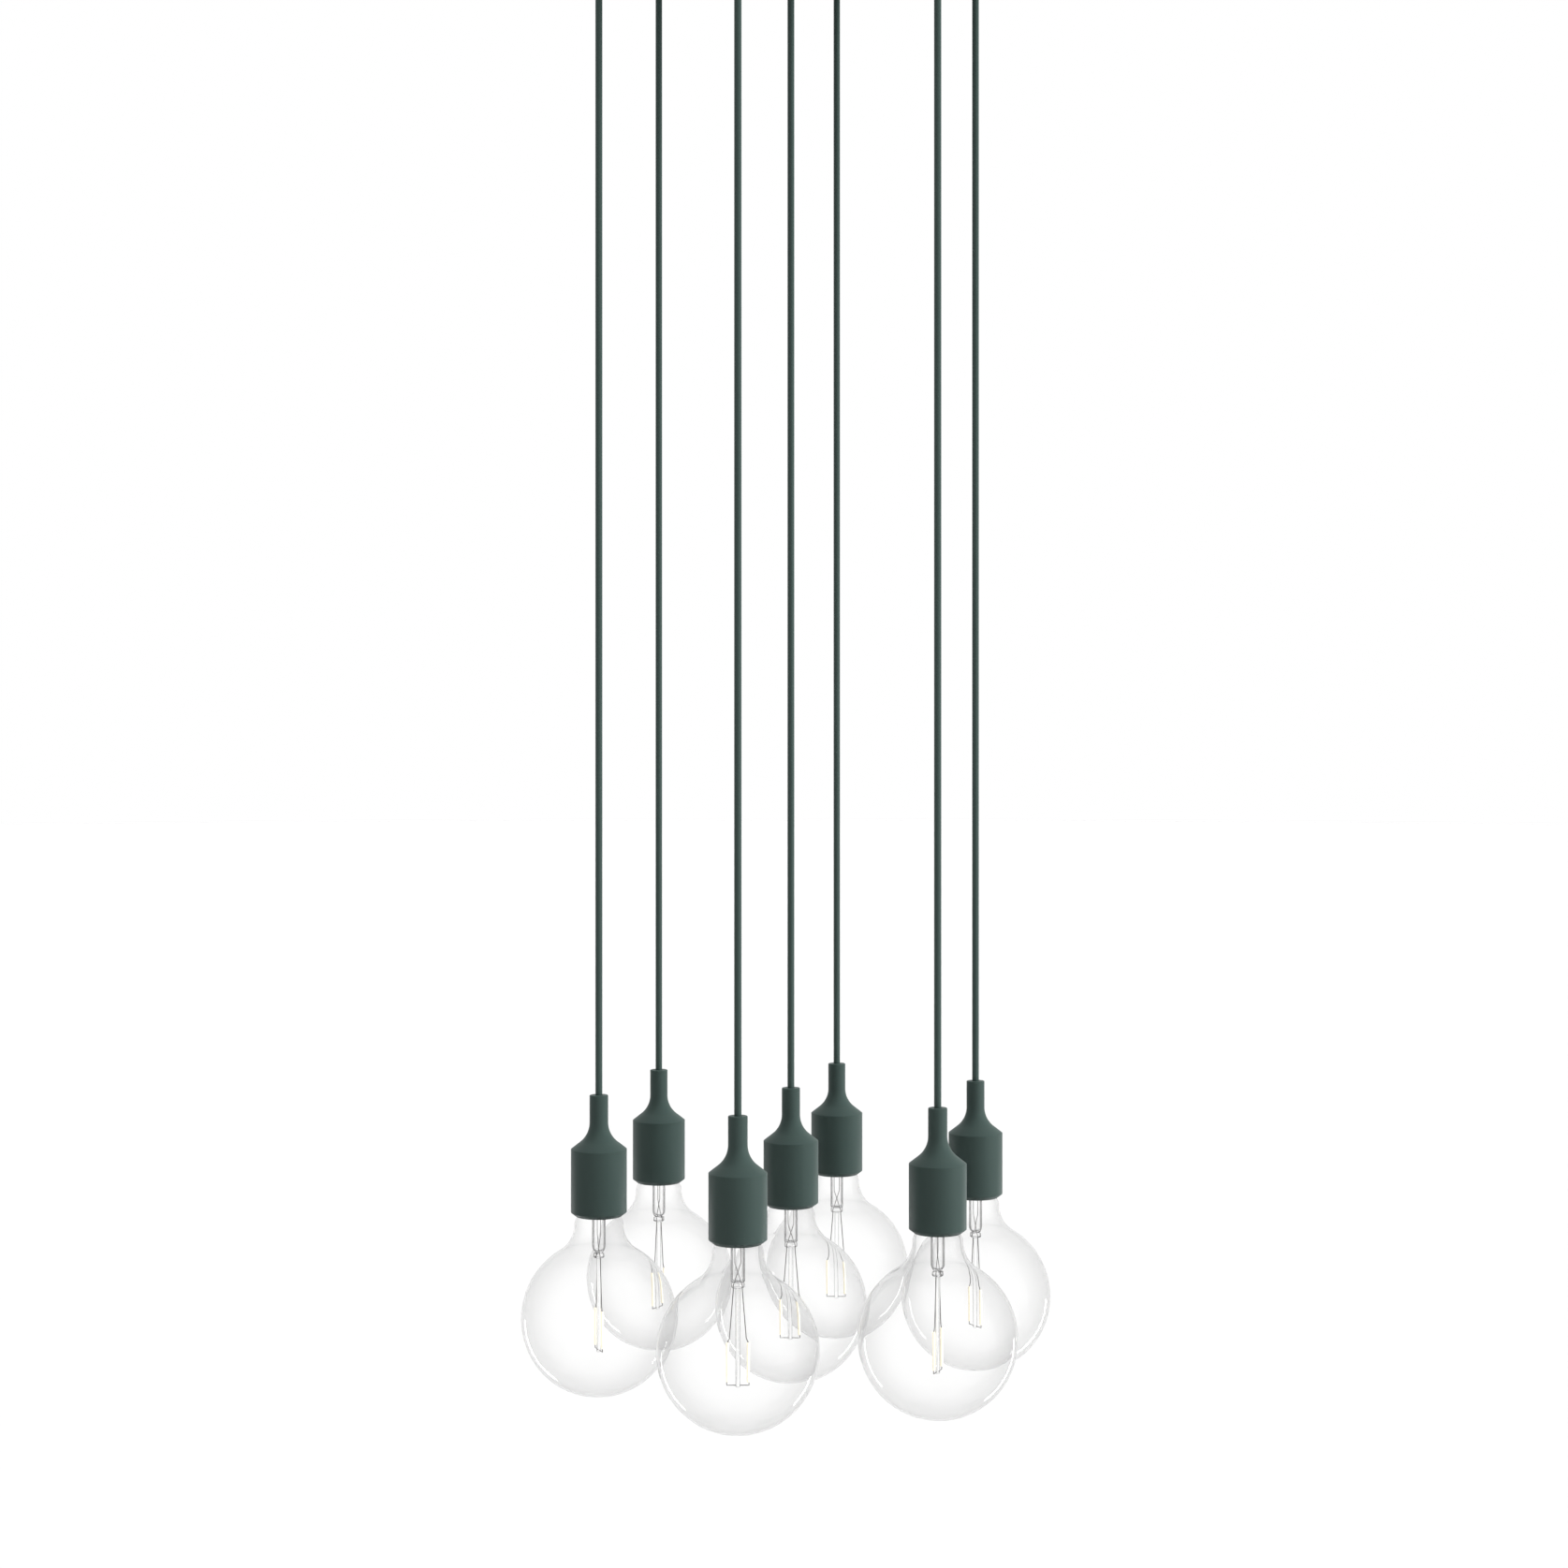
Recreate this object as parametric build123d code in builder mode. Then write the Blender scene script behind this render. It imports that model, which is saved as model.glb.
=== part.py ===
"""Cluster pendant: seven bare globe lamps on plumb cords under one round ceiling canopy.

Millimetres. The origin is the middle of the face that lies against the ceiling, +Z up,
so the whole object hangs below Z = 0. +X and +Y are level, with +Y away from the front.
Depths inside a sleeve, a lampholder or a lamp are measured downwards from the top of the
sleeve's neck, and all seven pendants are alike.
"""

import os
from math import asin, cos, radians, sin, sqrt, tan

from build123d import *

os.makedirs("parts", exist_ok=True)

# ---------------------------------------------------------------- layout of the cluster
RING_RADIUS = 160.5  # centre pendant to each ring pendant, and ring neighbour to neighbour
RING_TURN = 15.25  # degrees from +X to the first ring pendant, clear of the bracket strap
RING_COUNT = 6
NECK_LEVEL = -1000.0  # level of every sleeve's neck top, below the ceiling

# ---------------------------------------------------------------- canopy
CANOPY_RADIUS = 185.0
CANOPY_DEPTH = 40.0  # ceiling to the canopy's underside
CANOPY_SHEET = 1.5
CANOPY_EDGE_ROUND = 7.0  # drawn corner between the underside and the wall
CANOPY_RIM_GAP = 0.5  # shadow gap between the rim and the ceiling
OUTLET_HOLE_RADIUS = 5.1

STRAP_WIDTH = 30.0
STRAP_THICKNESS = 3.0
STRAP_END_GAP = 1.5  # bent end of the strap to the inside of the canopy wall
STRAP_BEND = 5.0
TAB_DROP = 26.0  # ceiling to the lower edge of the strap's bent ends
SLOT_SPACING = 210.0  # between the middles of the two ceiling screw slots
SLOT_LENGTH = 14.0
SLOT_WIDTH = 5.5
SUPPLY_HOLE_RADIUS = 5.0  # middle of the strap, where the supply cable comes through

SCREW_LEVEL = -17.0  # level of the two screws through the canopy wall
SCREW_SHANK_RADIUS = 2.0
SCREW_PLAY = 0.2
SCREW_HEAD_RADIUS = 4.2
SCREW_HEAD_HEIGHT = 2.6
SCREW_REACH = 9.0  # shank length under the head

# ---------------------------------------------------------------- cord outlets
CORD_RADIUS = 2.825
PIVOT_LEVEL = -42.0  # where a cord bends when its pendant swings
SWING_OUT = 20.0  # degrees, the widest swing that the outlet's mouth leaves room for
MOUTH_GAP = 0.5  # cord to mouth at the widest swing
GRIP_LIP_LEVEL = -48.0
GRIP_LIP_RADIUS = 7.4
GRIP_FLANGE_RADIUS = 10.0
GRIP_FLANGE_THICKNESS = 3.0
GRIP_STEM_RADIUS = 4.95
GRIP_STEM_TOP = -28.0
GRIP_BORE_RADIUS = 3.2
NUT_ACROSS_FLATS = 15.0
NUT_THICKNESS = 3.5

# ---------------------------------------------------------------- wiring in the canopy
BLOCK_LENGTH = 56.0
BLOCK_WIDTH = 30.0
BLOCK_HEIGHT = 15.0
BLOCK_CENTRE_X = -55.0
BLOCK_WELLS = 7
BLOCK_WELL_RADIUS = 2.2
BLOCK_WELL_DEPTH = 5.0
BLOCK_EDGE = 1.5
TAIL_LEVEL = -11.0  # level at which the cord tails run to the terminal block
TAIL_START = PIVOT_LEVEL + CORD_RADIUS + 0.6
TAIL_RISE_BEND = 11.0
TAIL_SIDE_BEND = 16.0
TAIL_APPROACH = 30.0  # last stretch, square to the terminal block
TAIL_SPACING = 17.0

# ---------------------------------------------------------------- silicone sleeve
SLEEVE_LENGTH = 97.3
SLEEVE_RADIUS = 22.5
NECK_RADIUS = 7.5
NECK_LENGTH = 22.0
NECK_ROUND = 0.8
NECK_BORE_RADIUS = 3.15
THROAT_RADIUS = 20.0  # concave sweep from the neck to the shoulder cone
THROAT_END_ANGLE = 52.0  # degrees from plumb at the end of the sweep
SHOULDER_DEPTH = 43.5
SLEEVE_CHAMFER_DEPTH = 94.2
SLEEVE_MOUTH_RADIUS = 18.0
SLEEVE_LIP_RADIUS = 18.5
SLEEVE_INNER_SHOULDER = 46.5
COLLAR_POCKET_RADIUS = 6.6
COLLAR_POCKET_DEPTH = 34.5

# ---------------------------------------------------------------- lampholder
HOLDER_RADIUS = 17.5
HOLDER_COLLAR_TOP = 35.0
HOLDER_COLLAR_RADIUS = 6.2
HOLDER_SEAT_GAP = 0.6  # between the lampholder's cone and the sleeve's, along the cord
HOLDER_END = 91.6
HOLDER_MOUTH_RADIUS = 15.0
HOLDER_FLOOR = 62.6  # partition that carries the centre contact
HOLDER_GROOVE_TOP = 55.5  # parting groove between the lampholder's dome and its barrel
HOLDER_GROOVE_WIDTH = 1.2
HOLDER_GROOVE_RADIUS = 16.9
CORD_ENTRY_DEPTH = 6.0
CORD_ENTRY_RADIUS = 3.0
SHELL_OUTER = 14.2
SHELL_INNER = 13.6
SHELL_TOP = 70.0
SHELL_END = 88.5
LEAF_WIDTH = 5.0
LEAF_THICKNESS = 0.8
LEAF_FOOT = 10.0  # centre line to the end of the leaf's foot
LEAF_RISE = 2.1

# ---------------------------------------------------------------- lamp
LAMP_LENGTH = 176.0
GLOBE_RADIUS = 62.5
GLOBE_CENTRE = 179.4
GLASS_WALL = 0.8
GLASS_NECK_RADIUS = 19.8
GLASS_THROAT = 25.0  # concave sweep from the neck to the globe
GLASS_ROOT_RADIUS = 12.8
GLASS_ROOT_TOP = 84.0
GLASS_FLARE_RADIUS = 17.5  # part of the way down the flare
GLASS_FLARE_DEPTH = 98.0
CAP_LENGTH = 26.5
CAP_SHEET = 0.35
CAP_SHOULDER = 3.0
CAP_TOP_RADIUS = 9.9
CONTACT_RADIUS = 4.9
CONTACT_HEIGHT = 1.8
INSULATOR_HEIGHT = 2.4
PLAY = 0.06  # running gap between the lamp's cap and its insulator

STEM_RADIUS = 5.2
STEM_WALL = 0.9
STEM_FLARE_END = 93.0
STEM_TAPER_START = 122.6
PINCH_TOP = 126.7
PINCH_END = 131.5
PINCH_NECK_RADIUS = 3.1
PINCH_RADIUS = 5.1
ROD_RADIUS = 1.8
ROD_END = 206.9
WIRE_RADIUS = 0.35
FEED_TOP = 88.0  # the two feed wires inside the stem's tube, which cross near its foot
FEED_BEND = 108.0
FEED_END = 124.8
FEED_SPREAD = 2.9  # centre line to a feed wire at its top
FEED_CROSSED = 1.2  # centre line to a feed wire at its foot, on the other side
FEED_GAP = 1.1  # between the two wires' own planes
LEAD_ROOT = 3.3  # lamp's centre line to a lead at the pinch
LEAD_BEND_OFFSET = 6.4
LEAD_BEND_DEPTH = 169.5
FILAMENT_OFFSET = 7.9
FILAMENT_RADIUS = 1.2
FILAMENT_TOP = 173.0
FILAMENT_END = 203.0
CROSS_WIRE_DEPTH = 205.4
CROSS_WIRE_HALF = 8.5

# direction of each lamp's filament plane in plan, degrees: every lamp is screwed home at
# the angle where its own thread stops
FILAMENT_ANGLES = (0.0, -58.0, 0.0, 59.0, -66.0, 0.0, 65.0)


def pendant_places():
    """Plan position of each pendant: the centre one first, then round the ring."""
    places = [(0.0, 0.0)]
    for step in range(RING_COUNT):
        angle = radians(RING_TURN + step * 360.0 / RING_COUNT)
        places.append((RING_RADIUS * cos(angle), RING_RADIUS * sin(angle)))
    return places


def level(depth):
    """Z of a depth measured down from the sleeve's neck top."""
    return NECK_LEVEL - depth


def hang(radius, depth):
    """Point of a profile: distance from the pendant's centre line, and depth as Z."""
    return (radius, level(depth))


PLACES = pendant_places()
CAP_RADIUS = GLASS_ROOT_RADIUS + CAP_SHEET
LAMP_TIP = GLOBE_CENTRE + GLOBE_RADIUS - LAMP_LENGTH
CAP_RIM = LAMP_TIP + CAP_LENGTH
CAP_TOP = LAMP_TIP + CONTACT_HEIGHT + INSULATOR_HEIGHT
SHOULDER_SLOPE = tan(radians(THROAT_END_ANGLE))
STRAP_HALF = CANOPY_RADIUS - CANOPY_SHEET - STRAP_END_GAP


# ================================================================ canopy
def make_canopy_cover():
    """Drawn steel cup, open to the ceiling, with seven outlets and two screw holes."""
    floor = -CANOPY_DEPTH
    with BuildPart() as cover:
        with BuildSketch(Plane.XY.offset(floor)):
            Circle(CANOPY_RADIUS)
        extrude(amount=CANOPY_DEPTH - CANOPY_RIM_GAP)
        fillet(cover.edges().group_by(Axis.Z)[0], CANOPY_EDGE_ROUND)
        offset(amount=-CANOPY_SHEET, openings=cover.faces().sort_by(Axis.Z)[-1])
        with BuildSketch(Plane.XY.offset(floor)):
            with Locations(*PLACES):
                Circle(OUTLET_HOLE_RADIUS)
        extrude(amount=CANOPY_SHEET, mode=Mode.SUBTRACT)
        with BuildSketch(Plane.YZ):
            with Locations((0, SCREW_LEVEL)):
                Circle(SCREW_SHANK_RADIUS + SCREW_PLAY)
        extrude(amount=CANOPY_RADIUS, both=True, mode=Mode.SUBTRACT)
    return cover.part


def make_ceiling_bracket():
    """Steel strap across the canopy, its ends bent down to take the canopy screws."""
    inner_half = STRAP_HALF - STRAP_THICKNESS
    with BuildPart() as bracket:
        with BuildSketch(Plane.XZ) as strap:
            with BuildLine():
                Polyline(
                    (-STRAP_HALF, -TAB_DROP),
                    (-STRAP_HALF, 0),
                    (STRAP_HALF, 0),
                    (STRAP_HALF, -TAB_DROP),
                    (inner_half, -TAB_DROP),
                    (inner_half, -STRAP_THICKNESS),
                    (-inner_half, -STRAP_THICKNESS),
                    (-inner_half, -TAB_DROP),
                    close=True,
                )
            make_face()
            top_corners = strap.vertices().group_by(Axis.Y)[-1]
            fillet(top_corners, STRAP_BEND)
            inner_corners = strap.vertices().group_by(Axis.Y)[-2]
            fillet(inner_corners, STRAP_BEND - STRAP_THICKNESS)
        extrude(amount=STRAP_WIDTH / 2, both=True)
        with BuildSketch(Plane.XY):
            with GridLocations(SLOT_SPACING, 0, 2, 1):
                SlotOverall(SLOT_LENGTH, SLOT_WIDTH)
            Circle(SUPPLY_HOLE_RADIUS)
        extrude(amount=-STRAP_THICKNESS, mode=Mode.SUBTRACT)
        with BuildSketch(Plane.YZ):
            with Locations((0, SCREW_LEVEL)):
                Circle(SCREW_SHANK_RADIUS)
        extrude(amount=CANOPY_RADIUS, both=True, mode=Mode.SUBTRACT)
    return bracket.part


def make_canopy_screws():
    """The two pan-head screws that hold the canopy to the strap's bent ends."""
    with BuildPart() as screws:
        for side in (-1, 1):
            face = Plane(origin=(side * CANOPY_RADIUS, 0, SCREW_LEVEL), z_dir=(side, 0, 0))
            with BuildSketch(face):
                Circle(SCREW_HEAD_RADIUS)
            extrude(amount=SCREW_HEAD_HEIGHT)
            with BuildSketch(face):
                Circle(SCREW_SHANK_RADIUS)
            extrude(amount=-SCREW_REACH)
        rims = screws.edges().filter_by(GeomType.CIRCLE).group_by(Axis.X)
        fillet(rims[0], 1.2)
        rims = screws.edges().filter_by(GeomType.CIRCLE).group_by(Axis.X)
        fillet(rims[-1], 1.2)
    return screws.part


def make_cord_grips():
    """Seven turned cord outlets: a stem for the nut, a flange and a flared mouth."""
    mouth_depth = PIVOT_LEVEL - GRIP_LIP_LEVEL
    mouth_top = CORD_RADIUS / cos(radians(SWING_OUT)) + MOUTH_GAP
    mouth_lip = mouth_top + mouth_depth * tan(radians(SWING_OUT))
    flange_level = -CANOPY_DEPTH - GRIP_FLANGE_THICKNESS
    with BuildPart() as grips:
        with BuildSketch(Plane.XZ) as profile:
            with BuildLine():
                Polyline(
                    (GRIP_BORE_RADIUS, GRIP_STEM_TOP),
                    (GRIP_STEM_RADIUS, GRIP_STEM_TOP),
                    (GRIP_STEM_RADIUS, -CANOPY_DEPTH),
                    (GRIP_FLANGE_RADIUS, -CANOPY_DEPTH),
                    (GRIP_FLANGE_RADIUS, flange_level),
                    (GRIP_LIP_RADIUS, GRIP_LIP_LEVEL),
                    (mouth_lip, GRIP_LIP_LEVEL),
                    (mouth_top, PIVOT_LEVEL),
                    (GRIP_BORE_RADIUS, PIVOT_LEVEL + 1),
                    close=True,
                )
            make_face()
            fillet(profile.vertices().group_by(Axis.X)[-1].sort_by(Axis.Y)[0], 1.6)
        revolve(axis=Axis.Z)
        turned = grips.part
        for x, y in PLACES[1:]:
            add(turned.moved(Location((x, y, 0))))
    return grips.part


def make_grip_nuts():
    """Seven hexagon nuts that hold the outlets to the canopy's floor from inside."""
    with BuildPart() as nuts:
        with BuildSketch(Plane.XY.offset(-CANOPY_DEPTH + CANOPY_SHEET)):
            with Locations(*PLACES):
                RegularPolygon(NUT_ACROSS_FLATS / 2, 6, major_radius=False)
                Circle(GRIP_STEM_RADIUS, mode=Mode.SUBTRACT)
        extrude(amount=NUT_THICKNESS)
    return nuts.part


def make_terminal_block():
    """Moulded block under the strap where the seven cords meet the supply."""
    pitch = BLOCK_LENGTH / BLOCK_WELLS
    with BuildPart() as block:
        with BuildSketch(Plane.XY.offset(-STRAP_THICKNESS)):
            with Locations((BLOCK_CENTRE_X, 0)):
                Rectangle(BLOCK_LENGTH, BLOCK_WIDTH)
        extrude(amount=-BLOCK_HEIGHT)
        chamfer(block.edges().group_by(Axis.Z)[0], BLOCK_EDGE)
        with BuildSketch(Plane.XY.offset(-STRAP_THICKNESS - BLOCK_HEIGHT)):
            with Locations((BLOCK_CENTRE_X, 0)):
                with GridLocations(pitch, BLOCK_WIDTH / 2, BLOCK_WELLS, 2):
                    Circle(BLOCK_WELL_RADIUS)
        extrude(amount=BLOCK_WELL_DEPTH, mode=Mode.SUBTRACT)
    return block.part


def tail_route(index):
    """Corners of one cord's way from its outlet to the terminal block."""
    x, y = PLACES[index]
    if index == 0:
        end = (BLOCK_CENTRE_X + BLOCK_LENGTH / 2, 0, TAIL_LEVEL)
        return [(x, y, TAIL_START), (x, y, TAIL_LEVEL), end]
    side = 1 if y > 0 else -1
    row = sorted(p for p in PLACES[1:] if p[1] * side > 0)
    entry_x = BLOCK_CENTRE_X + (row.index((x, y)) - 1) * TAIL_SPACING
    entry_y = side * BLOCK_WIDTH / 2
    return [
        (x, y, TAIL_START),
        (x, y, TAIL_LEVEL),
        (entry_x, entry_y + side * TAIL_APPROACH, TAIL_LEVEL),
        (entry_x, entry_y, TAIL_LEVEL),
    ]


def make_cord_tails():
    """The seven cords' ends inside the canopy, from their outlets to the block."""
    with BuildPart() as tails:
        for index in range(len(PLACES)):
            route = tail_route(index)
            bends = [TAIL_RISE_BEND, TAIL_SIDE_BEND][: len(route) - 2]
            with BuildLine():
                path = FilletPolyline(*route, radius=bends)
            with BuildSketch(Plane(origin=route[0], z_dir=(0, 0, 1))):
                Circle(CORD_RADIUS)
            sweep(path=path)
            print(f"tail {index + 1}: {path.length:.0f} mm, bend radii {bends} mm")
    return tails.part


# ================================================================ one pendant
def make_cord():
    """Plumb cord: its rounded top end turns in the outlet, its foot is in the lampholder."""
    foot = level(HOLDER_COLLAR_TOP + CORD_ENTRY_DEPTH)
    with BuildPart() as cord:
        with BuildSketch(Plane.XY.offset(foot)):
            Circle(CORD_RADIUS)
        extrude(amount=PIVOT_LEVEL - foot)
        with Locations((0, 0, PIVOT_LEVEL)):
            Sphere(CORD_RADIUS)
    return cord.part


def make_sleeve():
    """Thick silicone sleeve: slim neck, swept throat, crisp shoulder, chamfered mouth."""
    throat_centre = NECK_RADIUS + THROAT_RADIUS
    end_angle = radians(THROAT_END_ANGLE)
    mid_angle = end_angle / 2
    throat_mid = hang(
        throat_centre - THROAT_RADIUS * cos(mid_angle),
        NECK_LENGTH + THROAT_RADIUS * sin(mid_angle),
    )
    throat_end = hang(
        throat_centre - THROAT_RADIUS * cos(end_angle),
        NECK_LENGTH + THROAT_RADIUS * sin(end_angle),
    )
    pocket_end = SLEEVE_INNER_SHOULDER - (
        (SLEEVE_MOUTH_RADIUS - COLLAR_POCKET_RADIUS) / SHOULDER_SLOPE
    )
    with BuildPart() as sleeve:
        with BuildSketch(Plane.XZ) as profile:
            with BuildLine():
                Polyline(
                    throat_end,
                    hang(SLEEVE_RADIUS, SHOULDER_DEPTH),
                    hang(SLEEVE_RADIUS, SLEEVE_CHAMFER_DEPTH),
                    hang(SLEEVE_LIP_RADIUS, SLEEVE_LENGTH),
                    hang(SLEEVE_MOUTH_RADIUS, SLEEVE_LENGTH),
                    hang(SLEEVE_MOUTH_RADIUS, SLEEVE_INNER_SHOULDER),
                    hang(COLLAR_POCKET_RADIUS, pocket_end),
                    hang(COLLAR_POCKET_RADIUS, COLLAR_POCKET_DEPTH),
                    hang(NECK_BORE_RADIUS, COLLAR_POCKET_DEPTH),
                    hang(NECK_BORE_RADIUS, 0),
                    hang(NECK_RADIUS, 0),
                    hang(NECK_RADIUS, NECK_LENGTH),
                )
                ThreePointArc(hang(NECK_RADIUS, NECK_LENGTH), throat_mid, throat_end)
            make_face()
            neck_edge = profile.vertices().group_by(Axis.Y)[-1].sort_by(Axis.X)[-1]
            fillet(neck_edge, NECK_ROUND)
        revolve(axis=Axis.Z)
    return sleeve.part


def make_holder_body():
    """Moulded lampholder: cord collar, cone, straight skirt and a bore for the shell."""
    cone_drop = HOLDER_SEAT_GAP + SLEEVE_INNER_SHOULDER
    cone_top = cone_drop - (SLEEVE_MOUTH_RADIUS - HOLDER_COLLAR_RADIUS) / SHOULDER_SLOPE
    cone_end = cone_drop - (SLEEVE_MOUTH_RADIUS - HOLDER_RADIUS) / SHOULDER_SLOPE
    entry_floor = HOLDER_COLLAR_TOP + CORD_ENTRY_DEPTH
    groove_end = HOLDER_GROOVE_TOP + HOLDER_GROOVE_WIDTH
    with BuildPart() as body:
        with BuildSketch(Plane.XZ):
            with BuildLine():
                Polyline(
                    hang(0, entry_floor),
                    hang(CORD_ENTRY_RADIUS, entry_floor),
                    hang(CORD_ENTRY_RADIUS, HOLDER_COLLAR_TOP),
                    hang(HOLDER_COLLAR_RADIUS, HOLDER_COLLAR_TOP),
                    hang(HOLDER_COLLAR_RADIUS, cone_top),
                    hang(HOLDER_RADIUS, cone_end),
                    hang(HOLDER_RADIUS, HOLDER_GROOVE_TOP),
                    hang(HOLDER_GROOVE_RADIUS, HOLDER_GROOVE_TOP),
                    hang(HOLDER_GROOVE_RADIUS, groove_end),
                    hang(HOLDER_RADIUS, groove_end),
                    hang(HOLDER_RADIUS, HOLDER_END),
                    hang(HOLDER_MOUTH_RADIUS, HOLDER_END),
                    hang(HOLDER_MOUTH_RADIUS, SHELL_END),
                    hang(SHELL_OUTER, SHELL_END),
                    hang(SHELL_OUTER, HOLDER_FLOOR),
                    hang(0, HOLDER_FLOOR),
                    close=True,
                )
            make_face()
        revolve(axis=Axis.Z)
    return body.part


def make_holder_shell():
    """Brass screw shell, pressed into the lampholder's bore."""
    with BuildPart() as shell:
        with BuildSketch(Plane.XY.offset(level(SHELL_END))):
            Circle(SHELL_OUTER)
            Circle(SHELL_INNER, mode=Mode.SUBTRACT)
        extrude(amount=SHELL_END - SHELL_TOP)
    return shell.part


def make_contact_leaf():
    """Springy centre contact: a foot on the partition and a tongue up to the lamp."""
    raised = HOLDER_FLOOR + LEAF_RISE
    with BuildPart() as leaf:
        with BuildSketch(Plane.XZ):
            with BuildLine():
                Polyline(
                    hang(-LEAF_FOOT, HOLDER_FLOOR),
                    hang(-LEAF_WIDTH, HOLDER_FLOOR),
                    hang(-LEAF_WIDTH / 2, raised),
                    hang(LEAF_WIDTH, raised),
                    hang(LEAF_WIDTH, raised + LEAF_THICKNESS),
                    hang(-LEAF_WIDTH / 2 - 0.4, raised + LEAF_THICKNESS),
                    hang(-LEAF_WIDTH - 0.4, HOLDER_FLOOR + LEAF_THICKNESS),
                    hang(-LEAF_FOOT, HOLDER_FLOOR + LEAF_THICKNESS),
                    close=True,
                )
            make_face()
        extrude(amount=LEAF_WIDTH / 2, both=True)
    return leaf.part


def globe_section(inset):
    """Half section of the globe and its neck, inset from the outside of the glass."""
    neck = GLASS_NECK_RADIUS - inset
    root = GLASS_ROOT_RADIUS - inset
    globe = GLOBE_RADIUS - inset
    throat = GLASS_THROAT + inset
    throat_out = neck + throat
    throat_rise = sqrt((globe + throat) ** 2 - throat_out**2)
    throat_depth = GLOBE_CENTRE - throat_rise
    share = globe / (globe + throat)
    meet = hang(throat_out * share, GLOBE_CENTRE - throat_rise * share)
    half_turn = asin(throat_rise / (globe + throat)) / 2
    throat_mid = hang(
        throat_out - throat * cos(half_turn), throat_depth + throat * sin(half_turn)
    )
    with BuildSketch(Plane.XZ) as section:
        with BuildLine():
            Polyline(
                hang(0, GLOBE_CENTRE + globe),
                hang(0, GLASS_ROOT_TOP),
                hang(root, GLASS_ROOT_TOP),
                hang(root, CAP_RIM),
            )
            Spline(
                hang(root, CAP_RIM),
                hang(GLASS_FLARE_RADIUS - inset, GLASS_FLARE_DEPTH),
                hang(neck, throat_depth),
                tangents=((1, -0.8), (0, -1)),
            )
            ThreePointArc(hang(neck, throat_depth), throat_mid, meet)
            ThreePointArc(meet, hang(globe, GLOBE_CENTRE), hang(0, GLOBE_CENTRE + globe))
        make_face()
    return section.sketch


def make_glass():
    """Clear blown globe with a swept neck, open at the root that the cap is cemented to."""
    with BuildPart() as glass:
        revolve(globe_section(0), axis=Axis.Z)
        revolve(globe_section(GLASS_WALL), axis=Axis.Z, mode=Mode.SUBTRACT)
    return glass.part


def make_cap():
    """Plated lamp cap: thin shell, rolled shoulder and a ledge round the insulator."""
    shoulder = CAP_TOP + CAP_SHOULDER
    with BuildPart() as cap:
        with BuildSketch(Plane.XZ):
            with BuildLine():
                Polyline(
                    hang(CAP_TOP_RADIUS, CAP_TOP + PLAY),
                    hang(CAP_RADIUS, shoulder),
                    hang(CAP_RADIUS, CAP_RIM),
                    hang(CAP_RADIUS - CAP_SHEET, CAP_RIM),
                    hang(CAP_RADIUS - CAP_SHEET, shoulder),
                    hang(CAP_TOP_RADIUS, CAP_TOP + PLAY + 2 * CAP_SHEET),
                    close=True,
                )
            make_face()
        revolve(axis=Axis.Z)
    return cap.part


def make_lamp_contact():
    """The lamp's round centre contact on its cone of black insulation."""
    with BuildPart() as contact:
        with BuildSketch(Plane.XZ) as profile:
            with BuildLine():
                Polyline(
                    hang(0, LAMP_TIP),
                    hang(CONTACT_RADIUS, LAMP_TIP),
                    hang(CONTACT_RADIUS, LAMP_TIP + CONTACT_HEIGHT),
                    hang(CAP_TOP_RADIUS, CAP_TOP),
                    hang(0, CAP_TOP),
                    close=True,
                )
            make_face()
            fillet(profile.vertices().group_by(Axis.Y)[-1].sort_by(Axis.X)[-1], 0.8)
        revolve(axis=Axis.Z)
    return contact.part


def make_stem():
    """Glass stem: flared foot in the neck, tube, pinched knob and the long centre rod."""
    inner = STEM_RADIUS - STEM_WALL
    glass_inside = GLASS_ROOT_RADIUS - GLASS_WALL
    knob_middle = (PINCH_TOP + PINCH_END) / 2
    with BuildPart() as stem:
        with BuildSketch(Plane.XZ):
            with BuildLine():
                Line(hang(0, PINCH_TOP), hang(0, ROD_END))
                Line(hang(0, ROD_END), hang(ROD_RADIUS, ROD_END))
                Line(hang(ROD_RADIUS, ROD_END), hang(ROD_RADIUS, PINCH_END))
                Line(hang(ROD_RADIUS, PINCH_END), hang(PINCH_RADIUS - 1, PINCH_END))
                ThreePointArc(
                    hang(PINCH_RADIUS - 1, PINCH_END),
                    hang(PINCH_RADIUS, knob_middle),
                    hang(PINCH_NECK_RADIUS, PINCH_TOP),
                )
                Line(hang(PINCH_NECK_RADIUS, PINCH_TOP), hang(STEM_RADIUS, STEM_TAPER_START))
                Line(hang(STEM_RADIUS, STEM_TAPER_START), hang(STEM_RADIUS, STEM_FLARE_END))
                Line(hang(STEM_RADIUS, STEM_FLARE_END), hang(glass_inside, GLASS_ROOT_TOP))
                Line(hang(glass_inside, GLASS_ROOT_TOP), hang(glass_inside - 1.5, GLASS_ROOT_TOP))
                Line(hang(glass_inside - 1.5, GLASS_ROOT_TOP), hang(inner, STEM_FLARE_END))
                Line(hang(inner, STEM_FLARE_END), hang(inner, STEM_TAPER_START))
                Line(hang(inner, STEM_TAPER_START), hang(0, PINCH_TOP))
            make_face()
        revolve(axis=Axis.Z)
    return stem.part


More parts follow.
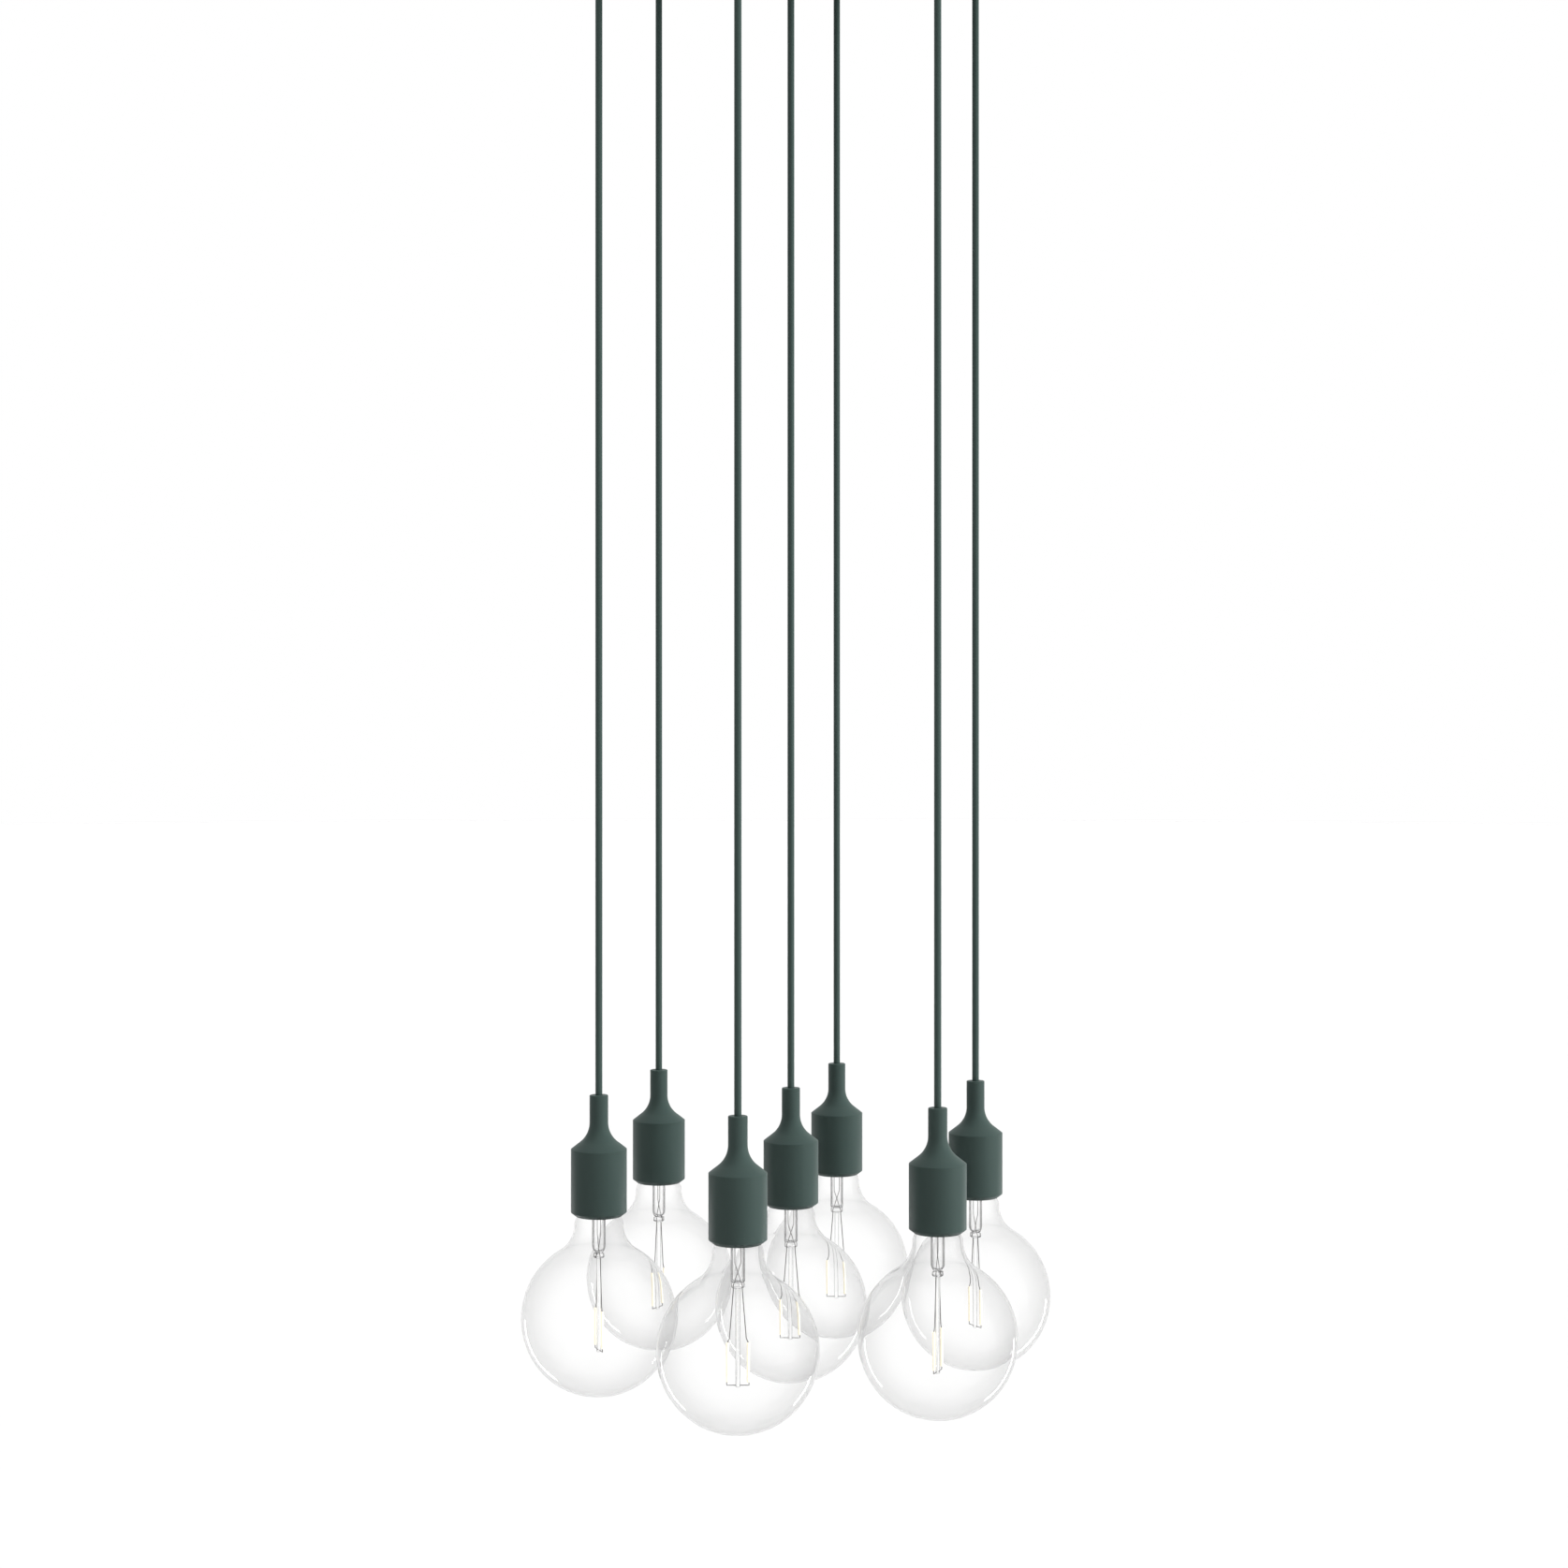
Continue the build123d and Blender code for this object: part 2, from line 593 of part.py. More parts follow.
def make_feed_wires():
    """The two feed wires inside the stem's tube: they cross near its foot, not touching."""
    wires = []
    for side in (-1, 1):
        aside = side * FEED_GAP / 2
        top = (side * FEED_SPREAD, aside, level(FEED_TOP))
        bend = (side * FEED_SPREAD, aside, level(FEED_BEND))
        foot = (-side * FEED_CROSSED, aside, level(FEED_END))
        with BuildPart() as wire:
            with BuildLine():
                path = Polyline(top, bend, foot)
            with BuildSketch(Plane(origin=top, z_dir=(0, 0, -1))):
                Circle(WIRE_RADIUS)
            sweep(path=path, transition=Transition.RIGHT)
        wires.append(wire.part)
    return wires


def make_filament_parts():
    """Leads, filaments and cross wire, on both sides of the rod in one plane."""
    pieces = []
    for side in (-1, 1):
        root = (side * LEAD_ROOT, 0, level(PINCH_END))
        bend = (side * LEAD_BEND_OFFSET, 0, level(LEAD_BEND_DEPTH))
        top = (side * FILAMENT_OFFSET, 0, level(FILAMENT_TOP))
        with BuildPart() as lead:
            with BuildLine():
                path = Polyline(root, bend, top)
            with BuildSketch(Plane(origin=root, z_dir=path % 0)):
                Circle(WIRE_RADIUS)
            sweep(path=path, transition=Transition.RIGHT)
        pieces.append(lead.part)
        with BuildPart() as filament:
            with BuildSketch(Plane.XY.offset(level(FILAMENT_END))):
                with Locations((side * FILAMENT_OFFSET, 0)):
                    Circle(FILAMENT_RADIUS)
            extrude(amount=FILAMENT_END - FILAMENT_TOP)
        pieces.append(filament.part)
        inner = (side * ROD_RADIUS, 0, level(CROSS_WIRE_DEPTH))
        outer = (side * CROSS_WIRE_HALF, 0, level(CROSS_WIRE_DEPTH))
        hook = (side * CROSS_WIRE_HALF, 0, level(FILAMENT_END))
        with BuildPart() as cross_wire:
            with BuildLine():
                path = Polyline(inner, outer, hook)
            with BuildSketch(Plane(origin=inner, z_dir=(side, 0, 0))):
                Circle(WIRE_RADIUS)
            sweep(path=path, transition=Transition.RIGHT)
        pieces.append(cross_wire.part)
    return pieces


# ================================================================ assembly
def place(piece, index, turn=0.0):
    """A copy of a piece of the pendant on the origin's axis, moved to its own pendant."""
    x, y = PLACES[index]
    return piece.moved(Location((x, y, 0), (0, 0, turn)))


def write(piece, name):
    piece.label = name
    export_step(piece, f"parts/{name}.step")


def main():
    write(make_canopy_cover(), "canopy_cover")
    write(make_ceiling_bracket(), "ceiling_bracket")
    write(make_canopy_screws(), "canopy_screws")
    write(make_cord_grips(), "cord_grips")
    write(make_grip_nuts(), "grip_nuts")
    write(make_terminal_block(), "terminal_block")
    write(make_cord_tails(), "cord_tails")

    cord = make_cord()
    sleeve = make_sleeve()
    holder = [make_holder_body(), make_holder_shell(), make_contact_leaf()]
    glass = make_glass()
    cap = make_cap()
    contact = make_lamp_contact()
    mount = [make_stem(), *make_feed_wires(), *make_filament_parts()]
    for index, turn in enumerate(FILAMENT_ANGLES):
        number = index + 1
        write(place(cord, index), f"cord_{number}")
        write(place(sleeve, index), f"sleeve_{number}")
        holder_pieces = [place(piece, index) for piece in holder]
        write(Compound(children=holder_pieces), f"lampholder_{number}")
        write(place(glass, index), f"lamp_glass_{number}")
        write(place(cap, index), f"lamp_cap_{number}")
        write(place(contact, index), f"lamp_contact_{number}")
        mount_pieces = [place(piece, index, turn) for piece in mount]
        write(Compound(children=mount_pieces), f"lamp_filaments_{number}")


main()
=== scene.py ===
"""Looks of the cluster pendant: seven globe lamps on plumb cords under one ceiling canopy.

Metres, in the frame of the CAD model: the origin is the middle of the face that lies
against the ceiling, +Z up, and the front is towards -Y. Measures of the pieces are
millimetres and become metres where a mesh is made. Depths in a pendant are below the top
of the sleeve's neck, and depths in the canopy are below the ceiling.
"""

from collections import namedtuple
from math import atan2, cos, pi, radians, sin, sqrt, tan

import bmesh
import bpy
from mathutils import Matrix, Vector


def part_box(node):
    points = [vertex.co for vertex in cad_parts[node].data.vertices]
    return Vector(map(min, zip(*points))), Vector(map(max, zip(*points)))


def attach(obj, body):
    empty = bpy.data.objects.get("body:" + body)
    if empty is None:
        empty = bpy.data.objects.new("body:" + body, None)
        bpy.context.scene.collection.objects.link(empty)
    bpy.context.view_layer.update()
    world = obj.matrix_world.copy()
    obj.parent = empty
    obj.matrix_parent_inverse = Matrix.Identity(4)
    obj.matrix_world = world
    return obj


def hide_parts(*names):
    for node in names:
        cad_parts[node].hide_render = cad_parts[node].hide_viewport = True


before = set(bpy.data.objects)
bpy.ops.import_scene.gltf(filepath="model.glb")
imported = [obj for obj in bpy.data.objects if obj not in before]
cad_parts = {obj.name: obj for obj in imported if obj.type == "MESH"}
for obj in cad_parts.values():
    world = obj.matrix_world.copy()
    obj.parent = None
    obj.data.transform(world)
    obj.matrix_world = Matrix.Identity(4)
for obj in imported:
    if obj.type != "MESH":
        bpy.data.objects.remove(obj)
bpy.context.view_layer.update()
MM = 0.001

# ---------------------------------------------------------------- picture
IMAGE_SIDE = 1675.0  # pixels
FOCAL_PIXELS = 2779.86
HORIZON_ROW = 777.51
CAMERA_PLACE = (-0.005675, -2.1391, -0.70424)
SENSOR_WIDTH = 36.0
CLIP_NEAR, CLIP_FAR = 0.05, 100.0

# ---------------------------------------------------------------- layout, metres
PENDANTS = range(1, 8)
NECK_LEVEL = -1.0  # top of every sleeve's neck
PIVOT_LEVEL = -0.042  # where the cords leave their outlets
FILAMENT_ANGLES = (0.0, -58.0, 0.0, 59.0, -66.0, 0.0, 65.0)  # degrees, pendants 1 to 7

# ---------------------------------------------------------------- cord and sleeve
CORD_RADIUS = 2.825
CORD_ENTRY = 41.0  # depth at which a cord ends inside its lampholder

SLEEVE_LENGTH = 97.3
SLEEVE_RADIUS = 22.5
NECK_RADIUS = 7.5
NECK_BORE = 3.15
THROAT_ROUND = 20.0
THROAT_ANGLE = 52.0
SHOULDER_DEPTH = 43.5
CHAMFER_DEPTH = 94.2
LIP_RADIUS = 18.5
MOUTH_RADIUS = 18.0
INNER_SHOULDER = 46.5
POCKET_RADIUS = 6.6
POCKET_DEPTH = 34.5

# ---------------------------------------------------------------- lamp: glass and cap
GLOBE_RADIUS = 62.5
GLOBE_CENTRE = 179.4
GLASS_WALL = 0.8
GLASS_NECK = 19.8
GLASS_THROAT = 25.0
GLASS_ROOT = 12.8
GLASS_ROOT_TOP = 84.0
CAP_RIM = 92.4
FLARE_WIDENS = 3.6  # the flare's first handle, out from the root
FLARE_DROPS = 2.9  # the same handle, down from the cap's rim
FLARE_LENGTH = 4.0  # the second handle, up from the throat

LAMP_TIP = 65.9
CAP_TOP = 70.1
CAP_SHOULDER = 73.1
CAP_TOP_RADIUS = 9.9
CAP_SHEET = 0.35
CONTACT_RADIUS = 4.9
CONTACT_HEIGHT = 1.8
CONTACT_SEAT = 0.9  # insulator left bare round the contact
SOLDER_RADIUS = 1.5
SOLDER_FOOT = 2.1

# ---------------------------------------------------------------- screw threads
THREAD_PITCH = 3.629
THREAD_HEIGHT = 0.4  # half the difference between crest and root
THREAD_STEP = 0.3  # depth from one row of a thread's points to the next
THREAD_FADE = 0.6  # turns over which a thread runs out
CAP_THREAD_RADIUS = 12.75
CAP_THREAD_END = 87.5
SHELL_THREAD_RADIUS = 13.1
SHELL_SHEET = 0.3
SHELL_TOP = 70.0
SHELL_END = 88.5

# ---------------------------------------------------------------- lampholder
HOLDER_RADIUS = 17.5
HOLDER_COLLAR_TOP = 35.0
HOLDER_COLLAR_RADIUS = 6.2
HOLDER_CORD_HOLE = 3.0
HOLDER_SEAT_GAP = 0.6
HOLDER_END = 91.6
HOLDER_MOUTH = 15.0
HOLDER_BORE = 14.2
HOLDER_FLOOR = 62.6
GROOVE_TOP = 55.5
GROOVE_END = 56.7
GROOVE_RADIUS = 16.9
LEAF_RISE = 2.1
LEAF_WIDTH = 5.0
LEAF_FOOT = 10.0
LEAF_SHEET = 0.48

# ---------------------------------------------------------------- stem and filaments
STEM_RADIUS = 5.5
STEM_WALL = 0.9
STEM_FLARE = 4.0  # rounding of the tube into its foot
STEM_FOOT_RISE = 4.2
STEM_FOOT_SHEET = 1.0
STEM_FLATTENS = 121.0
PINCH_TOP = 126.7
PINCH_END = 131.5
PINCH_RADIUS = 5.2
PINCH_NECK = 4.8
PINCH_FLATNESS = (  # depth, thickness as a share of the width
    (STEM_FLATTENS, 1.0),
    (123.0, 0.97),
    (124.5, 0.88),
    (125.7, 0.69),
    (126.6, 0.42),
    (127.0, 0.42),
    (127.6, 0.76),
    (128.2, 0.84),
    (131.0, 0.84),
    (131.6, 1.0),
)
ROD_RADIUS = 1.8
ROD_END = 206.9
WIRE_RADIUS = 0.35
WELD = 0.4  # how far a wire's end is sunk into the glass
FEED_RADIUS = 0.28
FEED_TOP = 88.0
FEED_BEND = 112.0
FEED_END = 125.3
FEED_SPREAD = 2.3
FEED_CROSSED = 2.0
FEED_ASIDE = 0.55
LEAD_ROOT = 3.3
LEAD_BEND = 6.4
LEAD_BEND_DEPTH = 169.5
FILAMENT_OFFSET = 7.9
FILAMENT_RADIUS = 1.15
FILAMENT_TOP = 173.0
FILAMENT_END = 203.0
CROSS_WIRE_DEPTH = 205.4
CROSS_WIRE_HALF = 8.5

# ---------------------------------------------------------------- canopy
CANOPY_RADIUS = 185.0
CANOPY_DEPTH = 40.0
CANOPY_SHEET = 1.5
CANOPY_EDGE = 7.0
CANOPY_RIM_GAP = 0.5
OUTLET_HOLE = 5.1
CUT_MARGIN = 5.0  # how far a cutter stands out on each side

SCREW_DEPTH = 17.0
SCREW_HEAD = 4.2
SCREW_HEAD_HEIGHT = 2.6
SCREW_HEAD_EDGE = 0.9
SCREW_CROWN = 2.2
SCREW_SHANK = 2.0
SCREW_CLEARANCE = 0.2
SCREW_REACH = 9.0
RECESS_SLOT = 0.9
RECESS_LENGTH = 4.2
RECESS_HEIGHT = 1.7

GRIP_BORE = 3.2
GRIP_STEM_TOP = 28.0
GRIP_STEM_RADIUS = 4.95
GRIP_THREAD_TOP = GRIP_STEM_TOP + 0.3
GRIP_THREAD_END = CANOPY_DEPTH - 3.0
GRIP_THREAD_PITCH = 1.0
GRIP_THREAD_HEIGHT = 0.2
GRIP_THREAD_STEP = 0.12
GRIP_FLANGE_DEPTH = 43.0
GRIP_FLANGE_RADIUS = 10.0
GRIP_LIP_DEPTH = 48.0
GRIP_LIP_RADIUS = 7.4
GRIP_MOUTH_LIP = 5.69
GRIP_MOUTH_TOP = 3.506

NUT_FLATS = 15.0
NUT_END = 38.5
NUT_THICKNESS = 3.5
NUT_BEVEL = 0.9
NUT_LEAD_IN = 0.5

BLOCK_CENTRE_X = -55.0
BLOCK_LENGTH = 56.0
BLOCK_WIDTH = 30.0
BLOCK_BOTTOM = 18.0
BLOCK_WELLS = 7
CLAMP_RECESS = 3.2  # how far up a well its clamp screw starts
CLAMP_RADIUS = 1.9
CLAMP_EDGE = 0.2
CLAMP_HEIGHT = 1.6
CLAMP_SLOT = (6.0, 0.7, 1.4)
CLAMP_WELL_TURN = 23.0  # degrees from one well to the next
CLAMP_ROW_TURN = 40.0  # degrees to either side of that in the two rows

# ---------------------------------------------------------------- fineness of the meshes
ARC_STEPS = 6
ARC_DOUBLES = 4.0  # millimetres of arc that double its steps
DOUBLED = 1e-7  # metres; points closer than this are one
FLARE_STEPS = 14
THROAT_STEPS = 20
GLOBE_STEPS = 60
CORD_BEVEL = 10
WIRE_BEVEL = 2
CANOPY_SIDES = 256
GLASS_SIDES = 160
SLEEVE_SIDES = 128
HOLDER_SIDES = 96
THREAD_SIDES = 72
MEDIUM_SIDES = 64
SMALL_SIDES = 48
TINY_SIDES = 32
NUT_SIDES = 72  # a multiple of six, for its corners
CRISP = 35.0  # edges that turn by more than this many degrees stay crisp
CRISP_CUT = 30.0
CRISP_NUT = 25.0
CRISP_ROUND = 50.0
CRISP_ROLLED = 60.0

# ---------------------------------------------------------------- surfaces
# Colours are linear, grain is in features per metre and relief is in metres.
UNSTRETCHED = (1.0, 1.0, 1.0)
Surface = namedtuple(
    "Surface", "dark light roughness grain relief values stretch", defaults=[UNSTRETCHED]
)
METAL = {"Metallic": 1.0}
SURFACES = {
    "sleeve_silicone": Surface(
        (0.0305, 0.0485, 0.0440),
        (0.0335, 0.0525, 0.0475),
        0.50,
        2600.0,
        0.00001,
        {"Specular IOR Level": 0.15},
    ),
    "cord_jacket": Surface(
        (0.0290, 0.0485, 0.0435),
        (0.0320, 0.0525, 0.0470),
        0.46,
        900.0,
        0.000008,
        {"Specular IOR Level": 0.2},
        (1.0, 1.0, 0.02),
    ),
    "canopy_powder_coat": Surface(
        (0.0290, 0.0485, 0.0435),
        (0.0320, 0.0525, 0.0470),
        0.55,
        1400.0,
        0.00003,
        {"Specular IOR Level": 0.3},
    ),
    "grip_plastic": Surface(
        (0.0285, 0.0475, 0.0425),
        (0.0315, 0.0515, 0.0460),
        0.42,
        2200.0,
        0.00001,
        {"Specular IOR Level": 0.3},
    ),
    "holder_plastic": Surface(
        (0.0085, 0.0090, 0.0095),
        (0.0120, 0.0125, 0.0130),
        0.38,
        1500.0,
        0.00001,
        {"Specular IOR Level": 0.3},
    ),
    "terminal_plastic": Surface(
        (0.62, 0.61, 0.56),
        (0.68, 0.67, 0.62),
        0.40,
        1500.0,
        0.00002,
        {"Subsurface Weight": 0.08, "Subsurface Scale": 0.002},
    ),
    "insulator_glass": Surface(
        (0.006, 0.006, 0.008),
        (0.010, 0.010, 0.014),
        0.16,
        600.0,
        0.00002,
        {"Coat Weight": 0.5},
    ),
    "cap_plating": Surface(
        (0.40, 0.40, 0.395), (0.48, 0.48, 0.47), 0.28, 900.0, 0.00001, METAL
    ),
    "brass": Surface(
        (0.50, 0.35, 0.14), (0.58, 0.42, 0.18), 0.30, 900.0, 0.00001, METAL
    ),
    "solder": Surface(
        (0.52, 0.53, 0.54), (0.62, 0.62, 0.63), 0.36, 700.0, 0.00003, METAL
    ),
    "nickel_wire": Surface(
        (0.13, 0.125, 0.12), (0.18, 0.175, 0.17), 0.42, 3000.0, 0.00001, METAL
    ),
    "zinc_plate": Surface(
        (0.36, 0.37, 0.38), (0.48, 0.49, 0.50), 0.34, 260.0, 0.00002, METAL
    ),
}
CLOUDS = 14.0  # features per metre
CLOUD_DETAIL = 4.0
GRAIN_DETAIL = 2.0
NOISE_LOW, NOISE_HIGH = 0.3, 0.7  # where most of a noise's values lie
GLOSS_BELOW, GLOSS_ABOVE = 0.04, 0.05  # how far the roughness strays

COATING_DARK = (0.80, 0.75, 0.61)
COATING_LIGHT = (0.86, 0.81, 0.67)
COATING_GRAIN = 900.0
COATING_RELIEF = 0.00003
COATING_ROUGHNESS = (0.5, 0.62)
FILAMENT_GLOW = (1.0, 0.82, 0.48)
FILAMENT_GLOW_STRENGTH = 0.15

FACING_BLEND = 0.5  # Layer Weight then gives 1 less the cosine of the angle
GLOBE_IOR = 1.12
# painted shade: the globe's colour greys towards its outline, standing in for the darker
# surroundings that real glass shows at its rim
GLOBE_RIM_SHADE = (  # Layer Weight value, brightness
    (0.08, 1.0),
    (0.20, 0.985),
    (0.29, 0.96),
    (0.36, 0.935),
    (0.58, 0.888),
    (0.80, 0.835),
    (0.99, 0.76),
)
STEM_IOR = 1.25
# painted shade: the stem's colour darkens steeply towards its outline, drawing the tube's dark
# edges
STEM_RIM_SHADE = (
    (0.06, 1.0),
    (0.26, 0.95),
    (0.36, 0.72),
    (0.48, 0.32),
    (0.70, 0.12),
    (0.99, 0.02),
)

# ---------------------------------------------------------------- room and light
FLOOR_LEVEL = -2.2
FLOOR_RADIUS = 40.0
FLOOR_SIDES = 96
FLOOR_DARK = (0.497, 0.497, 0.497)
FLOOR_LIGHT = (0.505, 0.505, 0.503)
FLOOR_CLOUDS = 3.0  # features per metre
FLOOR_ROUGHNESS = 0.9
FLOOR_GLOW = 0.115
AMBIENT = 0.45
WHITE = (1.0, 1.0, 1.0, 1.0)
GLOBES_MIDDLE = Vector((0.0, 0.0, -1.18))
LIGHT_BOUNCES = 32  # enough for rays through all the glass walls in a row

# right: degrees from the front towards +X; height: degrees above the level
Sun = namedtuple("Sun", "right height spread strength")
SUNS = {
    "key": Sun(80.0, 20.0, 35.0, 4.3),
    "ceiling": Sun(0.0, 85.0, 60.0, 1.8),
    "back": Sun(-160.0, 25.0, 40.0, 2.0),
}
# a softbox that isn't diffuse only draws its highlight on the glass
Softbox = namedtuple("Softbox", "start end width power diffuse")
SIDE_BOX = Softbox((2.4, -0.9, -0.2), (2.4, -0.9, -1.6), 1.4, 18.0, True)
STRIP = Softbox((1.44, 1.19, -1.5), (0.75, 0.67, -2.15), 0.14, 7.0, False)  # the right one of two


# ================================================================ mesh tools
def pendant_axis(number):
    """Plan position of a pendant's centre line, from the CAD sleeve's own box."""
    low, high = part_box(f"sleeve_{number}")
    middle = (low + high) / 2
    return middle.x, middle.y


AXES = {number: pendant_axis(number) for number in PENDANTS}


def rounded(corners, closed=True):
    """Outline through corners given as (radius, depth, rounding), with true arcs."""
    points = []
    for index, (radius, depth, rounding) in enumerate(corners):
        here = Vector((radius, depth))
        at_end = not closed and index in (0, len(corners) - 1)
        if rounding == 0 or at_end:
            points.append(here)
            continue
        after = corners[(index + 1) % len(corners)]
        back = (Vector(corners[index - 1][:2]) - here).normalized()
        ahead = (Vector(after[:2]) - here).normalized()
        half = back.angle(ahead) / 2
        centre = here + (back + ahead).normalized() * rounding / sin(half)
        start = here + back * rounding / tan(half)
        end = here + ahead * rounding / tan(half)
        first = atan2(start.y - centre.y, start.x - centre.x)
        turn = atan2(end.y - centre.y, end.x - centre.x) - first
        turn = (turn + pi) % (2 * pi) - pi
        count = max(2, round(ARC_STEPS * (1 + abs(turn) * rounding / ARC_DOUBLES)))
        for step in range(count + 1):
            angle = first + turn * step / count
            points.append(centre + rounding * Vector((cos(angle), sin(angle))))
    return points


def finish_mesh(mesh, crisp=CRISP):
    """Merges doubled points, turns the faces outwards and shades them smoothly."""
    work = bmesh.new()
    work.from_mesh(mesh)
    bmesh.ops.remove_doubles(work, verts=work.verts, dist=DOUBLED)
    bmesh.ops.recalc_face_normals(work, faces=work.faces)
    work.to_mesh(mesh)
    work.free()
    mesh.shade_smooth()
    mesh.set_sharp_from_angle(angle=radians(crisp))
    return mesh


def turned(
    name, outline, sides, closed=False, crisp=CRISP, shape=None, aside=0.0, top=NECK_LEVEL
):
    """Mesh turned about an upright axis from (radius, depth) points in millimetres.

    A closed outline also joins its last point to its first. shape gives a point's
    radius from its own radius, its depth and the angle. aside moves the axis along X,
    and top is the level of depth 0 in metres.
    """
    verts, faces = [], []
    count = len(outline)
    for side in range(sides):
        angle = 2 * pi * side / sides
        for radius, depth in outline:
            wide = shape(radius, depth, angle) if shape else radius
            reach = max(wide, 0.0) * MM
            x = aside * MM + reach * cos(angle)
            verts.append((x, reach * sin(angle), top - depth * MM))
    spans = count if closed else count - 1
    for side in range(sides):
        this, following = side * count, (side + 1) % sides * count
        for index in range(spans):
            ahead = (index + 1) % count
            faces.append((this + index, this + ahead, following + ahead, following + index))
    mesh = bpy.data.meshes.new(name)
    mesh.from_pydata(verts, [], faces)
    return finish_mesh(mesh, crisp)


def thread_shape(start, end, pitch, height):
    """Right-handed screw thread on the points between two depths, fading at its ends."""

    def shape(radius, depth, angle):
        inside = min(depth - start, end - depth)
        if inside <= 0.0:
            return radius
        fade = min(1.0, inside / (THREAD_FADE * pitch))
        return radius + height * fade * cos(-2 * pi * depth / pitch - angle)

    return shape


def rows(first, last, step):
    """Evenly spaced depths from first to last."""
    count = max(1, round(abs(last - first) / step))
    return [first + (last - first) * index / count for index in range(count + 1)]


def rolled_sheet(outer, thickness):
    """Closed outline of a thin sheet from the (radius, depth) points of its outside."""
    return outer + [(radius - thickness, depth) for radius, depth in outer[::-1]]


def wire_mesh(name, routes, radius):
    """Round wires along straight runs given as (x, y, depth) points in millimetres."""
    curve = bpy.data.curves.new(name, "CURVE")
    curve.dimensions = "3D"
    curve.bevel_depth = radius * MM
    curve.bevel_resolution = WIRE_BEVEL
    curve.use_fill_caps = True
    for route in routes:
        spline = curve.splines.new("POLY")
        spline.points.add(len(route) - 1)
        for point, (x, y, depth) in zip(spline.points, route):
            point.co = (x * MM, y * MM, NECK_LEVEL - depth * MM, 1.0)
    carrier = bpy.data.objects.new(name, curve)
    mesh = bpy.data.meshes.new_from_object(carrier)
    bpy.data.objects.remove(carrier)
    mesh.name = name
    mesh.shade_smooth()
    mesh.set_sharp_from_angle(angle=radians(CRISP_ROUND))
    return mesh


def mesh_of(work, name):
    """The mesh that a bmesh holds, with the bmesh freed."""
    mesh = bpy.data.meshes.new(name)
    work.to_mesh(mesh)
    work.free()
    return mesh


def rod_mesh(radius, start, end):
    """Solid rod between two points in millimetres, for cutting holes."""
    start, end = Vector(start), Vector(end)
    turn = (end - start).to_track_quat("Z", "Y").to_matrix().to_4x4()
    work = bmesh.new()
    bmesh.ops.create_cone(
        work,
        cap_ends=True,
        segments=SMALL_SIDES,
        radius1=radius * MM,
        radius2=radius * MM,
        depth=(end - start).length * MM,
        matrix=Matrix.Translation((start + end) / 2 * MM) @ turn,
    )
    return mesh_of(work, "rod")


def box_mesh(size, centre=(0.0, 0.0, 0.0)):
    """Solid box in millimetres, for cutting slots."""
    scale = Matrix.Diagonal((*[side * MM for side in size], 1.0))
    place = Matrix.Translation([along * MM for along in centre])
    work = bmesh.new()
    bmesh.ops.create_cube(work, size=1.0, matrix=place @ scale)
    return mesh_of(work, "box")


def cut(mesh, cutters):
    """The mesh with each cutter's solid taken out of it."""
    holder = bpy.data.objects.new("blank", mesh)
    bpy.context.scene.collection.objects.link(holder)
    tools = []
    for index, cutter in enumerate(cutters):
        tool = bpy.data.objects.new(f"cutter_{index}", cutter)
        bpy.context.scene.collection.objects.link(tool)
        modifier = holder.modifiers.new(f"cut_{index}", "BOOLEAN")
        modifier.operation = "DIFFERENCE"
        modifier.solver = "EXACT"
        modifier.object = tool
        tools.append(tool)
    graph = bpy.context.evaluated_depsgraph_get()
    result = bpy.data.meshes.new_from_object(holder.evaluated_get(graph))
    for spent in [holder, *tools]:
        bpy.data.objects.remove(spent)
    return finish_mesh(result, CRISP_CUT)


def with_material(mesh, material):
    mesh.materials.clear()
    mesh.materials.append(material)
    return mesh


def add_piece(mesh, name, body, replaced=None, place=(0.0, 0.0, 0.0), turn=0.0):
    """A piece that rides a body, turned in plan by some degrees about its own place."""
    piece = bpy.data.objects.new(name, mesh)
    bpy.context.scene.collection.objects.link(piece)
    piece.location = place
    piece.rotation_euler = (0.0, 0.0, radians(turn))
    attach(piece, body)
    if replaced:
        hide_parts(replaced)


# ================================================================ material tools
def new_material(name):
    material = bpy.data.materials.new(name)
    material.use_nodes = True
    tree = material.node_tree
    tree.nodes.clear()
    output = tree.nodes.new("ShaderNodeOutputMaterial")
    shader = tree.nodes.new("ShaderNodeBsdfPrincipled")
    tree.links.new(shader.outputs["BSDF"], output.inputs["Surface"])
    return material, tree, shader, output


def object_noise(tree, scale, detail, stretch=UNSTRETCHED):
    """Noise fixed to the piece, scale in features per metre."""
    place = tree.nodes.new("ShaderNodeTexCoord")
    mapping = tree.nodes.new("ShaderNodeMapping")
    mapping.inputs["Scale"].default_value = stretch
    noise = tree.nodes.new("ShaderNodeTexNoise")
    noise.inputs["Scale"].default_value = scale
    noise.inputs["Detail"].default_value = detail
    tree.links.new(place.outputs["Object"], mapping.inputs["Vector"])
    tree.links.new(mapping.outputs["Vector"], noise.inputs["Vector"])
    return noise.outputs["Fac"]


def spread_between(tree, factor, low, high):
    """Maps a noise value to a range of one number."""
    ranged = tree.nodes.new("ShaderNodeMapRange")
    ranged.inputs["From Min"].default_value = NOISE_LOW
    ranged.inputs["From Max"].default_value = NOISE_HIGH
    ranged.inputs["To Min"].default_value = low
    ranged.inputs["To Max"].default_value = high
    tree.links.new(factor, ranged.inputs["Value"])
    return ranged.outputs["Result"]


def colour_between(tree, factor, first, second):
    mix = tree.nodes.new("ShaderNodeMix")
    mix.data_type = "RGBA"
    mix.inputs["A"].default_value = (*first, 1.0)
    mix.inputs["B"].default_value = (*second, 1.0)
    tree.links.new(factor, mix.inputs["Factor"])
    return mix.outputs["Result"]


